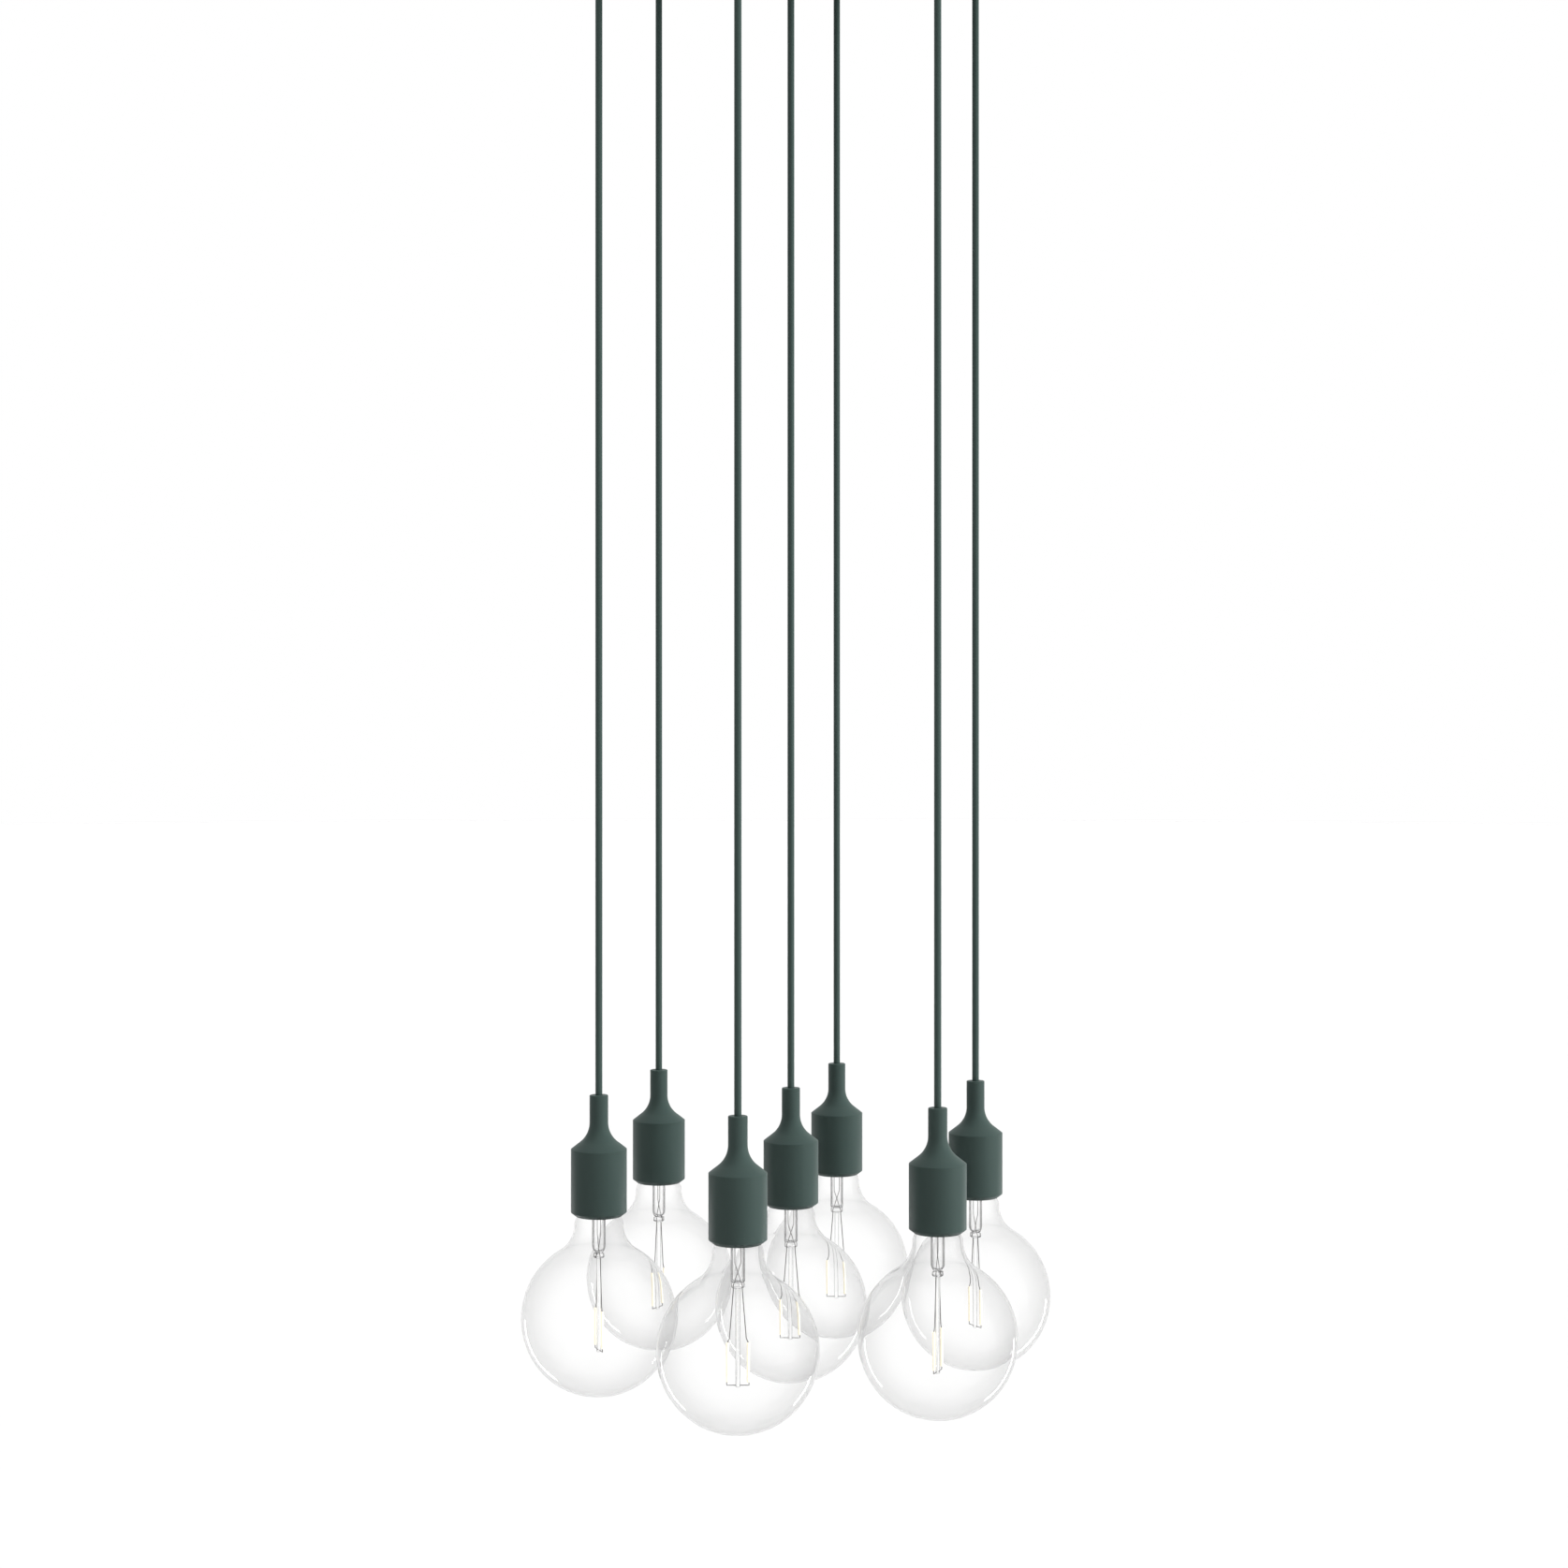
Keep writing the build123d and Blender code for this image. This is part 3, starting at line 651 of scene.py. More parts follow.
def bump(tree, shader, factor, depth):
    """Surface relief, depth in metres."""
    node = tree.nodes.new("ShaderNodeBump")
    node.inputs["Distance"].default_value = depth
    tree.links.new(factor, node.inputs["Height"])
    tree.links.new(node.outputs["Normal"], shader.inputs["Normal"])


def surface(name):
    """Moulded, painted or plated surface: clouded colour, uneven gloss and a fine grain."""
    look = SURFACES[name]
    material, tree, shader, _ = new_material(name)
    clouds = object_noise(tree, CLOUDS, CLOUD_DETAIL, look.stretch)
    shade = spread_between(tree, clouds, 0.0, 1.0)
    colour = colour_between(tree, shade, look.dark, look.light)
    tree.links.new(colour, shader.inputs["Base Color"])
    fine = object_noise(tree, look.grain, GRAIN_DETAIL, look.stretch)
    smoothest, roughest = look.roughness - GLOSS_BELOW, look.roughness + GLOSS_ABOVE
    rough = spread_between(tree, fine, smoothest, roughest)
    tree.links.new(rough, shader.inputs["Roughness"])
    bump(tree, shader, fine, look.relief)
    for socket, value in look.values.items():
        shader.inputs[socket].default_value = value
    return material


def clear_glass(name, rim_shade, ior):
    """Clear glass, greyed towards its outline by painted shade, that lets the lamps' light
    through.

    rim_shade gives the painted brightness of the glass at rising Layer Weight values, 0 seen
    square on.
    """
    material, tree, shader, output = new_material(name)
    shader.inputs["Transmission Weight"].default_value = 1.0
    shader.inputs["Roughness"].default_value = 0.0
    shader.inputs["IOR"].default_value = ior
    # painted shade: Layer Weight through the ramp greys the glass's colour towards its outline
    facing = tree.nodes.new("ShaderNodeLayerWeight")
    facing.inputs["Blend"].default_value = FACING_BLEND
    ramp = tree.nodes.new("ShaderNodeValToRGB")
    stops = ramp.color_ramp.elements
    for index, (position, level) in enumerate(rim_shade):
        stop = stops[0] if index == 0 else stops.new(position)
        stop.position = position
        stop.color = (level, level, level, 1.0)
    stops.remove(stops[-1])
    tree.links.new(facing.outputs["Facing"], ramp.inputs["Fac"])
    tree.links.new(ramp.outputs["Color"], shader.inputs["Base Color"])
    through = tree.nodes.new("ShaderNodeBsdfTransparent")
    path = tree.nodes.new("ShaderNodeLightPath")
    mix = tree.nodes.new("ShaderNodeMixShader")
    tree.links.new(path.outputs["Is Shadow Ray"], mix.inputs["Fac"])
    tree.links.new(shader.outputs["BSDF"], mix.inputs[1])
    tree.links.new(through.outputs["BSDF"], mix.inputs[2])
    tree.links.new(mix.outputs["Shader"], output.inputs["Surface"])
    return material


def filament_coating():
    """Pale coating of a filament stick, faintly grainy, glowing a little."""
    material, tree, shader, _ = new_material("filament_coating")
    grain = object_noise(tree, COATING_GRAIN, GRAIN_DETAIL)
    colour = colour_between(tree, grain, COATING_DARK, COATING_LIGHT)
    tree.links.new(colour, shader.inputs["Base Color"])
    shader.inputs["Emission Color"].default_value = (*FILAMENT_GLOW, 1.0)
    shader.inputs["Emission Strength"].default_value = FILAMENT_GLOW_STRENGTH
    rough = spread_between(tree, grain, *COATING_ROUGHNESS)
    tree.links.new(rough, shader.inputs["Roughness"])
    bump(tree, shader, grain, COATING_RELIEF)
    return material


def seen_ray(tree):
    """1 for rays from the camera, through glass and from a mirror, and 0 for the rest."""
    path = tree.nodes.new("ShaderNodeLightPath")
    seen = path.outputs["Is Camera Ray"]
    for kind in ("Is Transmission Ray", "Is Glossy Ray"):
        either = tree.nodes.new("ShaderNodeMath")
        either.operation = "MAXIMUM"
        tree.links.new(seen, either.inputs[0])
        tree.links.new(path.outputs[kind], either.inputs[1])
        seen = either.outputs["Value"]
    return seen


def pale_floor():
    """Floor that glows a little where it is seen, so that it meets the white room."""
    material, tree, shader, output = new_material("pale_floor")
    clouds = object_noise(tree, FLOOR_CLOUDS, GRAIN_DETAIL)
    colour = colour_between(tree, clouds, FLOOR_DARK, FLOOR_LIGHT)
    tree.links.new(colour, shader.inputs["Base Color"])
    shader.inputs["Roughness"].default_value = FLOOR_ROUGHNESS
    glowing = tree.nodes.new("ShaderNodeMixShader")
    tree.links.new(seen_ray(tree), glowing.inputs["Fac"])
    for socket, strength in ((1, 0.0), (2, FLOOR_GLOW)):
        glow = tree.nodes.new("ShaderNodeEmission")
        glow.inputs["Strength"].default_value = strength
        tree.links.new(glow.outputs["Emission"], glowing.inputs[socket])
    total = tree.nodes.new("ShaderNodeAddShader")
    tree.links.new(shader.outputs["BSDF"], total.inputs[0])
    tree.links.new(glowing.outputs["Shader"], total.inputs[1])
    tree.links.new(total.outputs["Shader"], output.inputs["Surface"])
    return material


# ================================================================ cord and sleeve
def make_cord(number, material):
    """One plumb cord, from its outlet in the canopy down into its lampholder."""
    x, y = AXES[number]
    foot = NECK_LEVEL - CORD_ENTRY * MM
    curve = bpy.data.curves.new(f"hanging_cord_{number}", "CURVE")
    curve.dimensions = "3D"
    curve.bevel_depth = CORD_RADIUS * MM
    curve.bevel_resolution = CORD_BEVEL
    curve.use_fill_caps = True
    spline = curve.splines.new("NURBS")
    spline.points.add(1)
    spline.points[0].co = (x, y, PIVOT_LEVEL, 1.0)
    spline.points[1].co = (x, y, foot, 1.0)
    spline.order_u = 2
    spline.use_endpoint_u = True
    curve.materials.append(material)
    piece = bpy.data.objects.new(f"hanging_cord_{number}", curve)
    bpy.context.scene.collection.objects.link(piece)
    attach(piece, f"pendant_{number}")
    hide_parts(f"cord_{number}")


def sleeve_mesh():
    """Silicone sleeve: neck, swept throat, body and chamfered mouth, hollow inside."""
    slope = tan(radians(THROAT_ANGLE))
    throat_corner = SHOULDER_DEPTH - (SLEEVE_RADIUS - NECK_RADIUS) / slope
    pocket_end = INNER_SHOULDER - (MOUTH_RADIUS - POCKET_RADIUS) / slope
    outline = rounded(
        [
            (NECK_BORE, 0.0, 0.25),
            (NECK_RADIUS, 0.0, 0.8),
            (NECK_RADIUS, throat_corner, THROAT_ROUND),
            (SLEEVE_RADIUS, SHOULDER_DEPTH, 0.4),
            (SLEEVE_RADIUS, CHAMFER_DEPTH, 0.35),
            (LIP_RADIUS, SLEEVE_LENGTH, 0.2),
            (MOUTH_RADIUS, SLEEVE_LENGTH, 0.2),
            (MOUTH_RADIUS, INNER_SHOULDER, 0.6),
            (POCKET_RADIUS, pocket_end, 0.5),
            (POCKET_RADIUS, POCKET_DEPTH, 0.3),
            (NECK_BORE, POCKET_DEPTH, 0.2),
        ]
    )
    return turned("sleeve", outline, SLEEVE_SIDES, closed=True)


# ================================================================ lamp
def globe_outline(inset):
    """Half outline of the glass from its root to its lowest point."""
    neck = GLASS_NECK - inset
    root = GLASS_ROOT - inset
    globe = GLOBE_RADIUS - inset
    throat = GLASS_THROAT + inset
    throat_out = neck + throat
    throat_rise = sqrt((globe + throat) ** 2 - throat_out**2)
    throat_depth = GLOBE_CENTRE - throat_rise
    turn = atan2(throat_rise, throat_out)
    points = [Vector((root, GLASS_ROOT_TOP)), Vector((root, CAP_RIM))]
    flare = [
        Vector((root, CAP_RIM)),
        Vector((root + FLARE_WIDENS, CAP_RIM + FLARE_DROPS)),
        Vector((neck, throat_depth - FLARE_LENGTH)),
        Vector((neck, throat_depth)),
    ]
    for step in range(1, FLARE_STEPS + 1):
        t = step / FLARE_STEPS
        blend = [(1 - t) ** 3, 3 * t * (1 - t) ** 2, 3 * t * t * (1 - t), t**3]
        point = sum((p * share for p, share in zip(flare, blend)), Vector((0.0, 0.0)))
        points.append(point)
    for step in range(1, THROAT_STEPS + 1):
        angle = turn * step / THROAT_STEPS
        out, down = throat_out - throat * cos(angle), throat * sin(angle)
        points.append(Vector((out, throat_depth + down)))
    start = pi / 2 - turn
    for step in range(1, GLOBE_STEPS + 1):
        angle = start + (pi - start) * step / GLOBE_STEPS
        points.append(Vector((globe * sin(angle), GLOBE_CENTRE - globe * cos(angle))))
    return points


def glass_mesh():
    outline = globe_outline(0.0) + globe_outline(GLASS_WALL)[::-1]
    return turned("lamp_glass", outline, GLASS_SIDES, closed=True)


def cap_mesh():
    """Plated cap: rolled shoulder, screw thread and the plain skirt round the glass."""
    skirt = GLASS_ROOT + CAP_SHEET
    thread = [(CAP_THREAD_RADIUS, d) for d in rows(CAP_SHOULDER, CAP_THREAD_END, THREAD_STEP)]
    outer = [
        (CAP_TOP_RADIUS - 0.5, CAP_TOP + 0.1),
        (CAP_TOP_RADIUS, CAP_TOP + 0.2),
        (CAP_TOP_RADIUS + 1.4, CAP_TOP + 0.8),
        (CAP_THREAD_RADIUS - 0.7, CAP_SHOULDER - 0.9),
        *thread,
        (skirt - 0.1, CAP_THREAD_END + 0.7),
        (skirt, CAP_THREAD_END + 1.2),
        (skirt, CAP_RIM - 0.2),
        (skirt - 0.08, CAP_RIM),
    ]
    shape = thread_shape(CAP_SHOULDER, CAP_THREAD_END, THREAD_PITCH, THREAD_HEIGHT)
    outline = rolled_sheet(outer, CAP_SHEET)
    return turned("lamp_cap", outline, THREAD_SIDES, True, CRISP_ROLLED, shape)


def insulator_mesh():
    """Black glass between the cap and its contact."""
    seat = LAMP_TIP + CONTACT_HEIGHT - 0.2
    outline = rounded(
        [
            (0.0, seat, 0.0),
            (CONTACT_RADIUS + CONTACT_SEAT, seat, 0.5),
            (CAP_TOP_RADIUS - 0.1, CAP_TOP, 0.4),
            (0.0, CAP_TOP, 0.0),
        ],
        closed=False,
    )
    return turned("lamp_insulator", outline, MEDIUM_SIDES)


def solder_mesh():
    """Centre contact: a domed disc with a blob of solder in its middle."""
    outline = rounded(
        [
            (0.0, LAMP_TIP, 0.0),
            (SOLDER_RADIUS, LAMP_TIP + 0.05, 0.6),
            (SOLDER_FOOT, LAMP_TIP + 0.5, 0.4),
            (CONTACT_RADIUS, LAMP_TIP + 0.75, 0.5),
            (CONTACT_RADIUS, LAMP_TIP + CONTACT_HEIGHT, 0.0),
            (0.0, LAMP_TIP + CONTACT_HEIGHT, 0.0),
        ],
        closed=False,
    )
    return turned("lamp_contact", outline, SMALL_SIDES)


def pinch_shape(radius, depth, angle):
    """Flattens the stem into its pinch, which stays wide in the filaments' plane."""
    flat = 1.0
    for (start, before), (end, after) in zip(PINCH_FLATNESS, PINCH_FLATNESS[1:]):
        if start <= depth <= end:
            share = (depth - start) / (end - start)
            flat = before + (after - before) * share
    return radius * flat / sqrt((flat * cos(angle)) ** 2 + sin(angle) ** 2)


def stem_mesh():
    """Glass stem: flared foot, tube, flat pinch with its collar and the long centre rod."""
    inner = STEM_RADIUS - STEM_WALL
    foot = GLASS_ROOT - GLASS_WALL - 0.2
    foot_top = CAP_RIM - STEM_FOOT_RISE
    flattening = rows(STEM_FLATTENS, PINCH_TOP - 2.8, 0.4)
    outline = rounded(
        [
            (0.0, PINCH_TOP - 0.5, 0.0),
            (inner, PINCH_TOP - 0.5, 2.2),
            *[(inner, depth, 0.0) for depth in flattening[::-1]],
            (inner, CAP_RIM + 1.0, STEM_FLARE),
            (foot - STEM_FOOT_SHEET, foot_top, 0.2),
            (foot, foot_top, 0.2),
            (STEM_RADIUS, CAP_RIM + 1.6, STEM_FLARE),
            *[(STEM_RADIUS, depth, 0.0) for depth in flattening],
            (STEM_RADIUS, PINCH_TOP - 0.8, 1.0),
            (PINCH_NECK, PINCH_TOP + 0.2, 0.4),
            (PINCH_RADIUS, PINCH_TOP + 1.1, 0.6),
            (PINCH_RADIUS, PINCH_END - 0.5, 0.9),
            (ROD_RADIUS, PINCH_END, 0.7),
            (ROD_RADIUS, ROD_END, 0.8),
            (0.0, ROD_END, 0.0),
        ],
        closed=False,
    )
    return turned("glass_stem", outline, MEDIUM_SIDES, crisp=CRISP_ROLLED, shape=pinch_shape)


def feed_wire_mesh():
    """Wires down the tube, crossing above the pinch and meeting the leads inside it."""
    routes = []
    for side in (-1, 1):
        aside = side * FEED_ASIDE
        top = (side * FEED_SPREAD, aside, FEED_TOP)
        bend = (side * FEED_SPREAD, aside, FEED_BEND)
        crossed = (-side * FEED_CROSSED, aside, FEED_END)
        root = (-side * LEAD_ROOT, 0.0, PINCH_END - WELD)
        routes.append([top, bend, crossed, root])
    return wire_mesh("feed_wires", routes, FEED_RADIUS)


def lead_mesh():
    """Leads down from the pinch, each ending in a small hook on its filament."""
    routes = []
    for side in (-1, 1):
        root = (side * LEAD_ROOT, 0.0, PINCH_END - WELD)
        bend = (side * LEAD_BEND, 0.0, LEAD_BEND_DEPTH)
        hook = (side * FILAMENT_OFFSET, 0.0, FILAMENT_TOP)
        routes.append([root, bend, hook])
    return wire_mesh("lead_wires", routes, WIRE_RADIUS)


def cross_wire_mesh():
    """Wire through the rod's foot, its ends turned up to the filaments."""
    routes = []
    for side in (-1, 1):
        inner = (side * (ROD_RADIUS - WELD), 0.0, CROSS_WIRE_DEPTH)
        outer = (side * CROSS_WIRE_HALF, 0.0, CROSS_WIRE_DEPTH)
        hook = (side * CROSS_WIRE_HALF, 0.0, FILAMENT_END)
        routes.append([inner, outer, hook])
    return wire_mesh("cross_wires", routes, WIRE_RADIUS)


def filament_mesh(side):
    """One coated filament stick, on the left (-1) or the right (1) of the rod."""
    outline = rounded(
        [
            (0.0, FILAMENT_TOP, 0.0),
            (FILAMENT_RADIUS, FILAMENT_TOP, 0.4),
            (FILAMENT_RADIUS, FILAMENT_END, 0.4),
            (0.0, FILAMENT_END, 0.0),
        ],
        closed=False,
    )
    return turned("filament", outline, TINY_SIDES, aside=side * FILAMENT_OFFSET)


# ================================================================ lampholder
def holder_mesh():
    """Moulded lampholder: collar, dome, parting groove, barrel and the bore for the lamp."""
    slope = tan(radians(THROAT_ANGLE))
    seat = HOLDER_SEAT_GAP + INNER_SHOULDER
    cone_top = seat - (MOUTH_RADIUS - HOLDER_COLLAR_RADIUS) / slope
    cone_end = seat - (MOUTH_RADIUS - HOLDER_RADIUS) / slope
    outline = rounded(
        [
            (0.0, CORD_ENTRY, 0.0),
            (HOLDER_CORD_HOLE, CORD_ENTRY, 0.0),
            (HOLDER_CORD_HOLE, HOLDER_COLLAR_TOP, 0.3),
            (HOLDER_COLLAR_RADIUS, HOLDER_COLLAR_TOP, 0.5),
            (HOLDER_COLLAR_RADIUS, cone_top, 0.8),
            (HOLDER_RADIUS, cone_end, 1.2),
            (HOLDER_RADIUS, GROOVE_TOP, 0.2),
            (GROOVE_RADIUS, GROOVE_TOP, 0.1),
            (GROOVE_RADIUS, GROOVE_END, 0.1),
            (HOLDER_RADIUS, GROOVE_END, 0.2),
            (HOLDER_RADIUS, HOLDER_END, 0.4),
            (HOLDER_MOUTH, HOLDER_END, 0.4),
            (HOLDER_MOUTH, SHELL_END, 0.2),
            (HOLDER_BORE, SHELL_END, 0.2),
            (HOLDER_BORE, HOLDER_FLOOR, 0.4),
            (0.0, HOLDER_FLOOR, 0.0),
        ],
        closed=False,
    )
    return turned("lampholder_body", outline, HOLDER_SIDES)


def shell_mesh():
    """Rolled brass screw shell with the same thread as the lamp's cap."""
    lip = HOLDER_BORE - 0.1
    radius, end = SHELL_THREAD_RADIUS + SHELL_SHEET, SHELL_END - 0.8
    outer = [(radius, depth) for depth in rows(SHELL_TOP, end, THREAD_STEP)]
    outer += [(lip, SHELL_END - 0.5), (lip, SHELL_END)]
    shape = thread_shape(SHELL_TOP + 0.5, end, THREAD_PITCH, THREAD_HEIGHT)
    outline = rolled_sheet(outer, SHELL_SHEET)
    return turned("screw_shell", outline, THREAD_SIDES, True, CRISP_ROLLED, shape)


def leaf_mesh():
    """Springy contact leaf: bent strip from its foot up to the lamp's contact."""
    flat = HOLDER_FLOOR + 0.1
    raised = HOLDER_FLOOR + LEAF_RISE
    route = [
        (-LEAF_FOOT, flat),
        (-LEAF_WIDTH, flat),
        (-LEAF_WIDTH / 2, raised),
        (LEAF_WIDTH * 0.7, raised + 0.1),
        (LEAF_WIDTH, raised - 0.3),
    ]
    half = LEAF_WIDTH / 2
    verts, faces = [], []
    for x, depth in route:
        for y in (-half, half):
            for thick in (0.0, LEAF_SHEET):
                verts.append((x * MM, y * MM, NECK_LEVEL - (depth + thick) * MM))
    for a in range(0, 4 * (len(route) - 1), 4):
        b = a + 4
        faces += [(a, a + 2, b + 2, b), (a + 1, b + 1, b + 3, a + 3)]
        faces += [(a, b, b + 1, a + 1), (a + 2, a + 3, b + 3, b + 2)]
    last = 4 * (len(route) - 1)
    faces += [(0, 1, 3, 2), (last, last + 2, last + 3, last + 1)]
    mesh = bpy.data.meshes.new("contact_leaf")
    mesh.from_pydata(verts, [], faces)
    return finish_mesh(mesh, CRISP_CUT)


# ================================================================ canopy
def canopy_mesh():
    """Drawn steel cup with a rounded edge, seven outlet holes and two screw holes."""
    inside = CANOPY_RADIUS - CANOPY_SHEET
    ceiling = CANOPY_DEPTH - CANOPY_SHEET
    outline = rounded(
        [
            (0.0, CANOPY_DEPTH, 0.0),
            (CANOPY_RADIUS, CANOPY_DEPTH, CANOPY_EDGE),
            (CANOPY_RADIUS, CANOPY_RIM_GAP, 0.4),
            (inside, CANOPY_RIM_GAP, 0.4),
            (inside, ceiling, CANOPY_EDGE - CANOPY_SHEET),
            (0.0, ceiling, 0.0),
        ],
        closed=False,
    )
    cup = turned("canopy", outline, CANOPY_SIDES, top=0.0)
    cutters = []
    for x, y in AXES.values():
        start = (x / MM, y / MM, -CANOPY_DEPTH - CUT_MARGIN)
        end = (x / MM, y / MM, -CANOPY_DEPTH + CUT_MARGIN)
        cutters.append(rod_mesh(OUTLET_HOLE, start, end))
    for side in (-1, 1):
        start = (side * (inside - CUT_MARGIN), 0.0, -SCREW_DEPTH)
        end = (side * (CANOPY_RADIUS + CUT_MARGIN), 0.0, -SCREW_DEPTH)
        cutters.append(rod_mesh(SCREW_SHANK + SCREW_CLEARANCE, start, end))
    return cut(cup, cutters)


def grip_mesh():
    """Cord outlet: threaded stem, bevelled flange and the flared mouth round the cord."""
    mouth_top = -PIVOT_LEVEL / MM
    thread = rows(GRIP_THREAD_TOP, GRIP_THREAD_END, GRIP_THREAD_STEP)
    outline = [
        (GRIP_BORE, GRIP_STEM_TOP),
        (GRIP_STEM_RADIUS - 0.5, GRIP_STEM_TOP),
        *[(GRIP_STEM_RADIUS - 0.2, depth) for depth in thread],
    ]
    outline += rounded(
        [
            (GRIP_STEM_RADIUS, GRIP_THREAD_END + 0.2, 0.0),
            (GRIP_STEM_RADIUS, CANOPY_DEPTH, 0.0),
            (GRIP_FLANGE_RADIUS, CANOPY_DEPTH, 0.5),
            (GRIP_FLANGE_RADIUS, GRIP_FLANGE_DEPTH, 1.2),
            (GRIP_LIP_RADIUS, GRIP_LIP_DEPTH, 0.7),
            (GRIP_MOUTH_LIP, GRIP_LIP_DEPTH, 0.5),
            (GRIP_MOUTH_TOP, mouth_top, 1.0),
            (GRIP_BORE, mouth_top - 1.0, 0.0),
        ],
        closed=False,
    )
    shape = thread_shape(
        GRIP_THREAD_TOP, GRIP_THREAD_END, GRIP_THREAD_PITCH, GRIP_THREAD_HEIGHT
    )
    return turned("cord_outlet", outline, MEDIUM_SIDES, True, CRISP_ROUND, shape, top=0.0)


def nut_mesh():
    """Hexagon nut with turned-off corners."""
    top = NUT_END - NUT_THICKNESS
    flat = NUT_FLATS / 2
    corner = flat / cos(pi / 6) + 0.1

    def hexagon(radius, depth, angle):
        if radius < flat - 1.0:
            return radius
        across = flat / cos((angle + pi / 6) % (pi / 3) - pi / 6)
        return min(across, radius)

    outline = [
        (GRIP_STEM_RADIUS + NUT_LEAD_IN, top),
        (flat - 0.3, top),
        (corner, top + NUT_BEVEL),
        (corner, NUT_END - NUT_BEVEL),
        (flat - 0.3, NUT_END),
        (GRIP_STEM_RADIUS + NUT_LEAD_IN, NUT_END),
        (GRIP_STEM_RADIUS, NUT_END - NUT_LEAD_IN),
        (GRIP_STEM_RADIUS, top + NUT_LEAD_IN),
    ]
    return turned("outlet_nut", outline, NUT_SIDES, True, CRISP_NUT, hexagon, top=0.0)


def screw_mesh():
    """Pan-head screw along +X with a cross recess, its head seated at X = 0."""
    outline = rounded(
        [
            (0.0, -SCREW_HEAD_HEIGHT, 0.0),
            (SCREW_CROWN, -SCREW_HEAD_HEIGHT, 1.0),
            (SCREW_HEAD, -SCREW_HEAD_EDGE, 1.0),
            (SCREW_HEAD, 0.0, 0.15),
            (SCREW_SHANK, 0.0, 0.1),
            (SCREW_SHANK, SCREW_REACH - 0.6, 0.3),
            (0.0, SCREW_REACH, 0.0),
        ],
        closed=False,
    )
    blank = turned("canopy_screw", outline, SMALL_SIDES, top=0.0)
    blank.transform(Matrix.Rotation(pi / 2, 4, "Y"))
    head = (SCREW_HEAD_HEIGHT, 0.0, 0.0)
    upright = box_mesh((RECESS_HEIGHT, RECESS_SLOT, RECESS_LENGTH), head)
    level = box_mesh((RECESS_HEIGHT, RECESS_LENGTH, RECESS_SLOT), head)
    return cut(blank, [upright, level])


def clamp_mesh():
    """Clamp screw in a well of the terminal block, its slotted face down at Z = 0."""
    outline = [
        (0.0, 0.0),
        (CLAMP_RADIUS - CLAMP_EDGE, 0.0),
        (CLAMP_RADIUS, -CLAMP_EDGE),
        (CLAMP_RADIUS, -CLAMP_HEIGHT),
        (0.0, -CLAMP_HEIGHT),
    ]
    blank = turned("clamp_screw", outline, TINY_SIDES, top=0.0)
    return cut(blank, [box_mesh(CLAMP_SLOT)])


# ================================================================ the object
def make_cords():
    jacket = surface("cord_jacket")
    for number in PENDANTS:
        make_cord(number, jacket)


def make_pendants():
    """Seven pendants from one set of meshes, each on its own axis and bodies."""
    brass = surface("brass")
    wire = surface("nickel_wire")
    coating = filament_coating()
    globe_glass = clear_glass("globe_glass", GLOBE_RIM_SHADE, GLOBE_IOR)
    stem_glass = clear_glass("stem_glass", STEM_RIM_SHADE, STEM_IOR)
    # piece, mesh, material, body, slot, CAD node that it replaces
    outside = (
        ("silicone_sleeve", sleeve_mesh(), surface("sleeve_silicone"),
         "sleeve_body", "silicone", "sleeve"),
        ("lampholder_body", holder_mesh(), surface("holder_plastic"),
         "pendant", "holder_plastic", "lampholder"),
        ("screw_shell", shell_mesh(), brass, "pendant", None, None),
        ("contact_leaf", leaf_mesh(), brass, "pendant", None, None),
        ("glass_globe", glass_mesh(), globe_glass, "lamp", "clear_glass", "lamp_glass"),
        ("screw_cap", cap_mesh(), surface("cap_plating"), "lamp", "cap_metal", "lamp_cap"),
        ("insulator", insulator_mesh(), surface("insulator_glass"),
         "lamp_base", "lamp_insulator", "lamp_contact"),
        ("centre_contact", solder_mesh(), surface("solder"), "lamp_base", None, None),
    )
    inside = (
        ("glass_stem", stem_mesh(), stem_glass, "lamp", "stem_glass", "lamp_filaments"),
        ("feed_wires", feed_wire_mesh(), wire, "lamp", None, None),
        ("lead_wires", lead_mesh(), wire, "lamp", None, None),
        ("cross_wires", cross_wire_mesh(), wire, "lamp", None, None),
        ("filament_left", filament_mesh(-1), coating, "lamp", None, None),
        ("filament_right", filament_mesh(1), coating, "lamp", None, None),
    )
    for _, mesh, material, *_ in outside + inside:
        with_material(mesh, material)
    for number, filament_angle in zip(PENDANTS, FILAMENT_ANGLES):
        place = (*AXES[number], 0.0)
        for pieces, turn in ((outside, 0.0), (inside, filament_angle)):
            for piece, mesh, _, body, slot, node in pieces:
                replaced = f"{node}_{number}" if node else None
                name = f"{piece}_{number}"
                add_piece(mesh, name, f"{body}_{number}", replaced, place, turn)


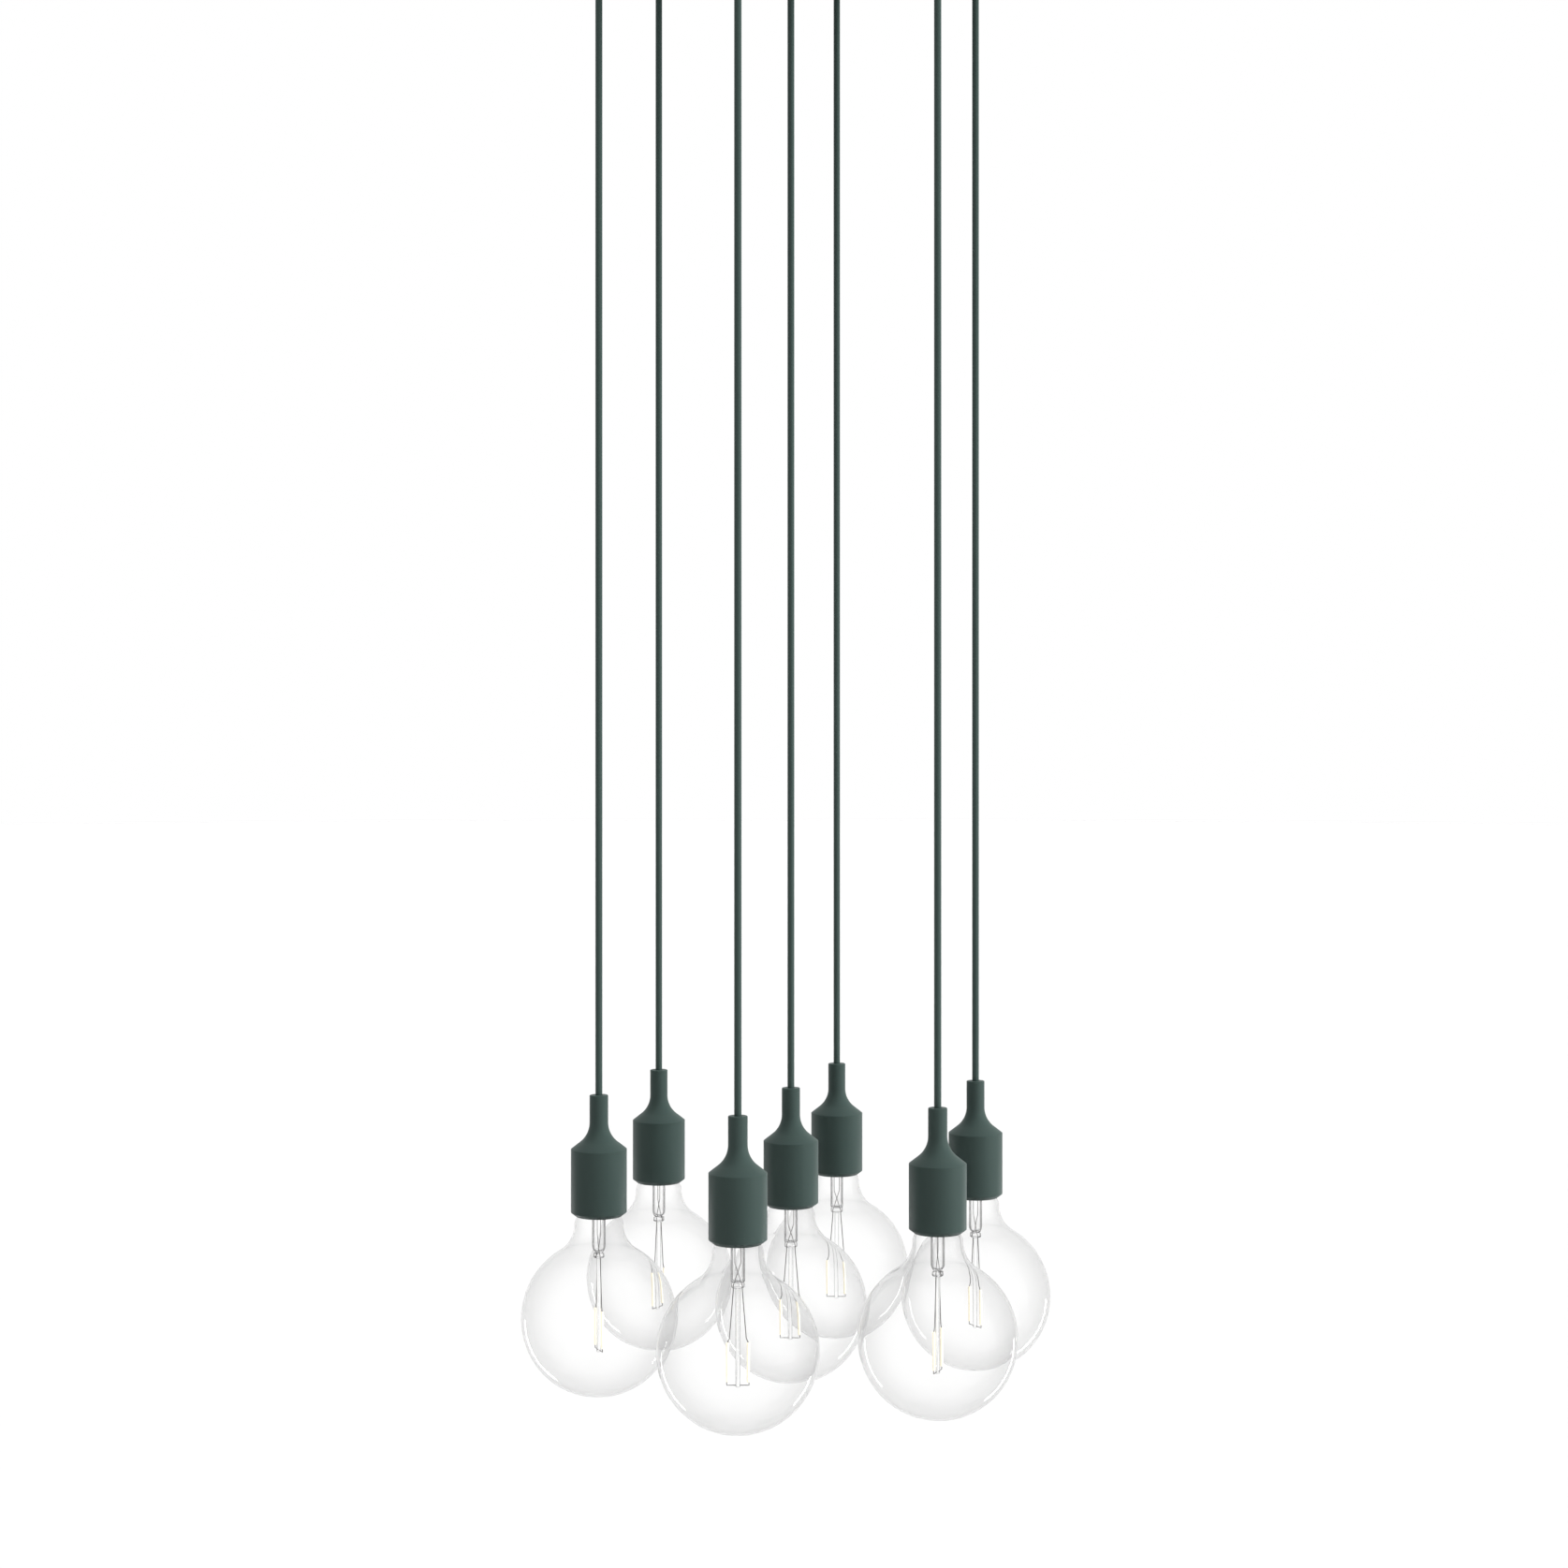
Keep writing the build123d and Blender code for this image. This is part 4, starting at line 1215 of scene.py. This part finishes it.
def make_canopy():
    """Canopy with its screws, outlets and nuts, and the looks of what it holds."""
    zinc = surface("zinc_plate")
    paint = surface("canopy_powder_coat")
    canopy = with_material(canopy_mesh(), paint)
    screw = with_material(screw_mesh(), paint)
    outlet = with_material(grip_mesh(), surface("grip_plastic"))
    nut = with_material(nut_mesh(), zinc)
    clamp = with_material(clamp_mesh(), zinc)
    add_piece(canopy, "canopy", "root", "canopy_cover")
    for side, side_name, turn in ((1, "right", 0.0), (-1, "left", 180.0)):
        place = (side * CANOPY_RADIUS * MM, 0.0, -SCREW_DEPTH * MM)
        name = f"canopy_screw_{side_name}"
        add_piece(screw, name, "root", "canopy_screws", place, turn)
    for number in PENDANTS:
        place = (*AXES[number], 0.0)
        name = f"cord_outlet_{number}"
        add_piece(outlet, name, "root", "cord_grips", place)
        name = f"outlet_nut_{number}"
        add_piece(nut, name, "root", "grip_nuts", place)
    clamp_level = CLAMP_RECESS - BLOCK_BOTTOM
    for well in range(BLOCK_WELLS):
        x = BLOCK_CENTRE_X + (well - (BLOCK_WELLS - 1) / 2) * BLOCK_LENGTH / BLOCK_WELLS
        for row, row_name in ((-1, "front"), (1, "back")):
            place = (x * MM, row * BLOCK_WIDTH / 4 * MM, clamp_level * MM)
            name = f"clamp_screw_{well + 1}_{row_name}"
            turn = CLAMP_WELL_TURN * well + CLAMP_ROW_TURN * row
            add_piece(clamp, name, "root", place=place, turn=turn)
    carried_over = {
        "ceiling_bracket": zinc,
        "terminal_block": surface("terminal_plastic"),
        "cord_tails": surface("cord_jacket"),
    }
    for node, material in carried_over.items():
        with_material(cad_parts[node].data, material)


# ================================================================ camera, room and light
def make_camera():
    data = bpy.data.cameras.new("camera")
    data.sensor_width = SENSOR_WIDTH
    data.lens = FOCAL_PIXELS / IMAGE_SIDE * SENSOR_WIDTH
    data.shift_y = (HORIZON_ROW - IMAGE_SIDE / 2) / IMAGE_SIDE
    data.clip_start = CLIP_NEAR
    data.clip_end = CLIP_FAR
    camera = bpy.data.objects.new("camera", data)
    camera.location = CAMERA_PLACE
    camera.rotation_euler = (radians(90.0), 0.0, 0.0)
    bpy.context.scene.collection.objects.link(camera)
    bpy.context.scene.camera = camera


def make_world():
    """Even soft light, and white for what is seen directly, mirrored or through glass."""
    world = bpy.data.worlds.new("room")
    bpy.context.scene.world = world
    world.use_nodes = True
    tree = world.node_tree
    tree.nodes.clear()
    output = tree.nodes.new("ShaderNodeOutputWorld")
    mix = tree.nodes.new("ShaderNodeMixShader")
    tree.links.new(seen_ray(tree), mix.inputs["Fac"])
    for socket, strength in ((1, AMBIENT), (2, 1.0)):
        background = tree.nodes.new("ShaderNodeBackground")
        background.inputs["Color"].default_value = WHITE
        background.inputs["Strength"].default_value = strength
        tree.links.new(background.outputs["Background"], mix.inputs[socket])
    tree.links.new(mix.outputs["Shader"], output.inputs["Surface"])


def make_floor():
    work = bmesh.new()
    bmesh.ops.create_circle(work, cap_ends=True, segments=FLOOR_SIDES, radius=FLOOR_RADIUS)
    mesh = with_material(mesh_of(work, "floor"), pale_floor())
    floor = bpy.data.objects.new("floor", mesh)
    floor.location = (0.0, 0.0, FLOOR_LEVEL)
    bpy.context.scene.collection.objects.link(floor)


def add_light(name, data):
    """A light that the glass doesn't show as a disc or a panel behind it."""
    light = bpy.data.objects.new(name, data)
    light.visible_transmission = False
    bpy.context.scene.collection.objects.link(light)
    return light


def make_sun(name, setting):
    """Broad even light with no highlight of its own."""
    data = bpy.data.lights.new(name, "SUN")
    data.angle = radians(setting.spread)
    data.energy = setting.strength
    right, height = radians(setting.right), radians(setting.height)
    level = cos(height)
    towards = Vector((level * sin(right), -level * cos(right), sin(height)))
    light = add_light(name, data)
    light.rotation_euler = (-towards).to_track_quat("-Z", "Y").to_euler()
    light.visible_glossy = False


def make_softbox(name, setting, side=1):
    """Lit panel between two points, facing the globes, or its mirror image for side -1."""
    mirror = Vector((side, 1.0, 1.0))
    start, end = Vector(setting.start) * mirror, Vector(setting.end) * mirror
    middle = (start + end) / 2
    along = (end - start).normalized()
    across = along.cross(middle - GLOBES_MIDDLE).normalized()
    data = bpy.data.lights.new(name, "AREA")
    data.shape = "RECTANGLE"
    data.size = setting.width
    data.size_y = (end - start).length
    data.energy = setting.power
    light = add_light(name, data)
    turn = Matrix((across, along, across.cross(along))).transposed()
    light.matrix_world = Matrix.Translation(middle) @ turn.to_4x4()
    light.visible_camera = False
    light.visible_diffuse = setting.diffuse


def make_lights():
    for name, setting in SUNS.items():
        make_sun(name, setting)
    make_softbox("side", SIDE_BOX)
    for side, name in ((-1, "left"), (1, "right")):
        make_softbox(f"{name}_strip", STRIP, side)


make_camera()
make_cords()
make_pendants()
make_canopy()
make_world()
make_floor()
make_lights()

scene = bpy.context.scene
scene.view_settings.view_transform = "Standard"
scene.cycles.max_bounces = LIGHT_BOUNCES
scene.cycles.transmission_bounces = LIGHT_BOUNCES
scene.cycles.transparent_max_bounces = LIGHT_BOUNCES
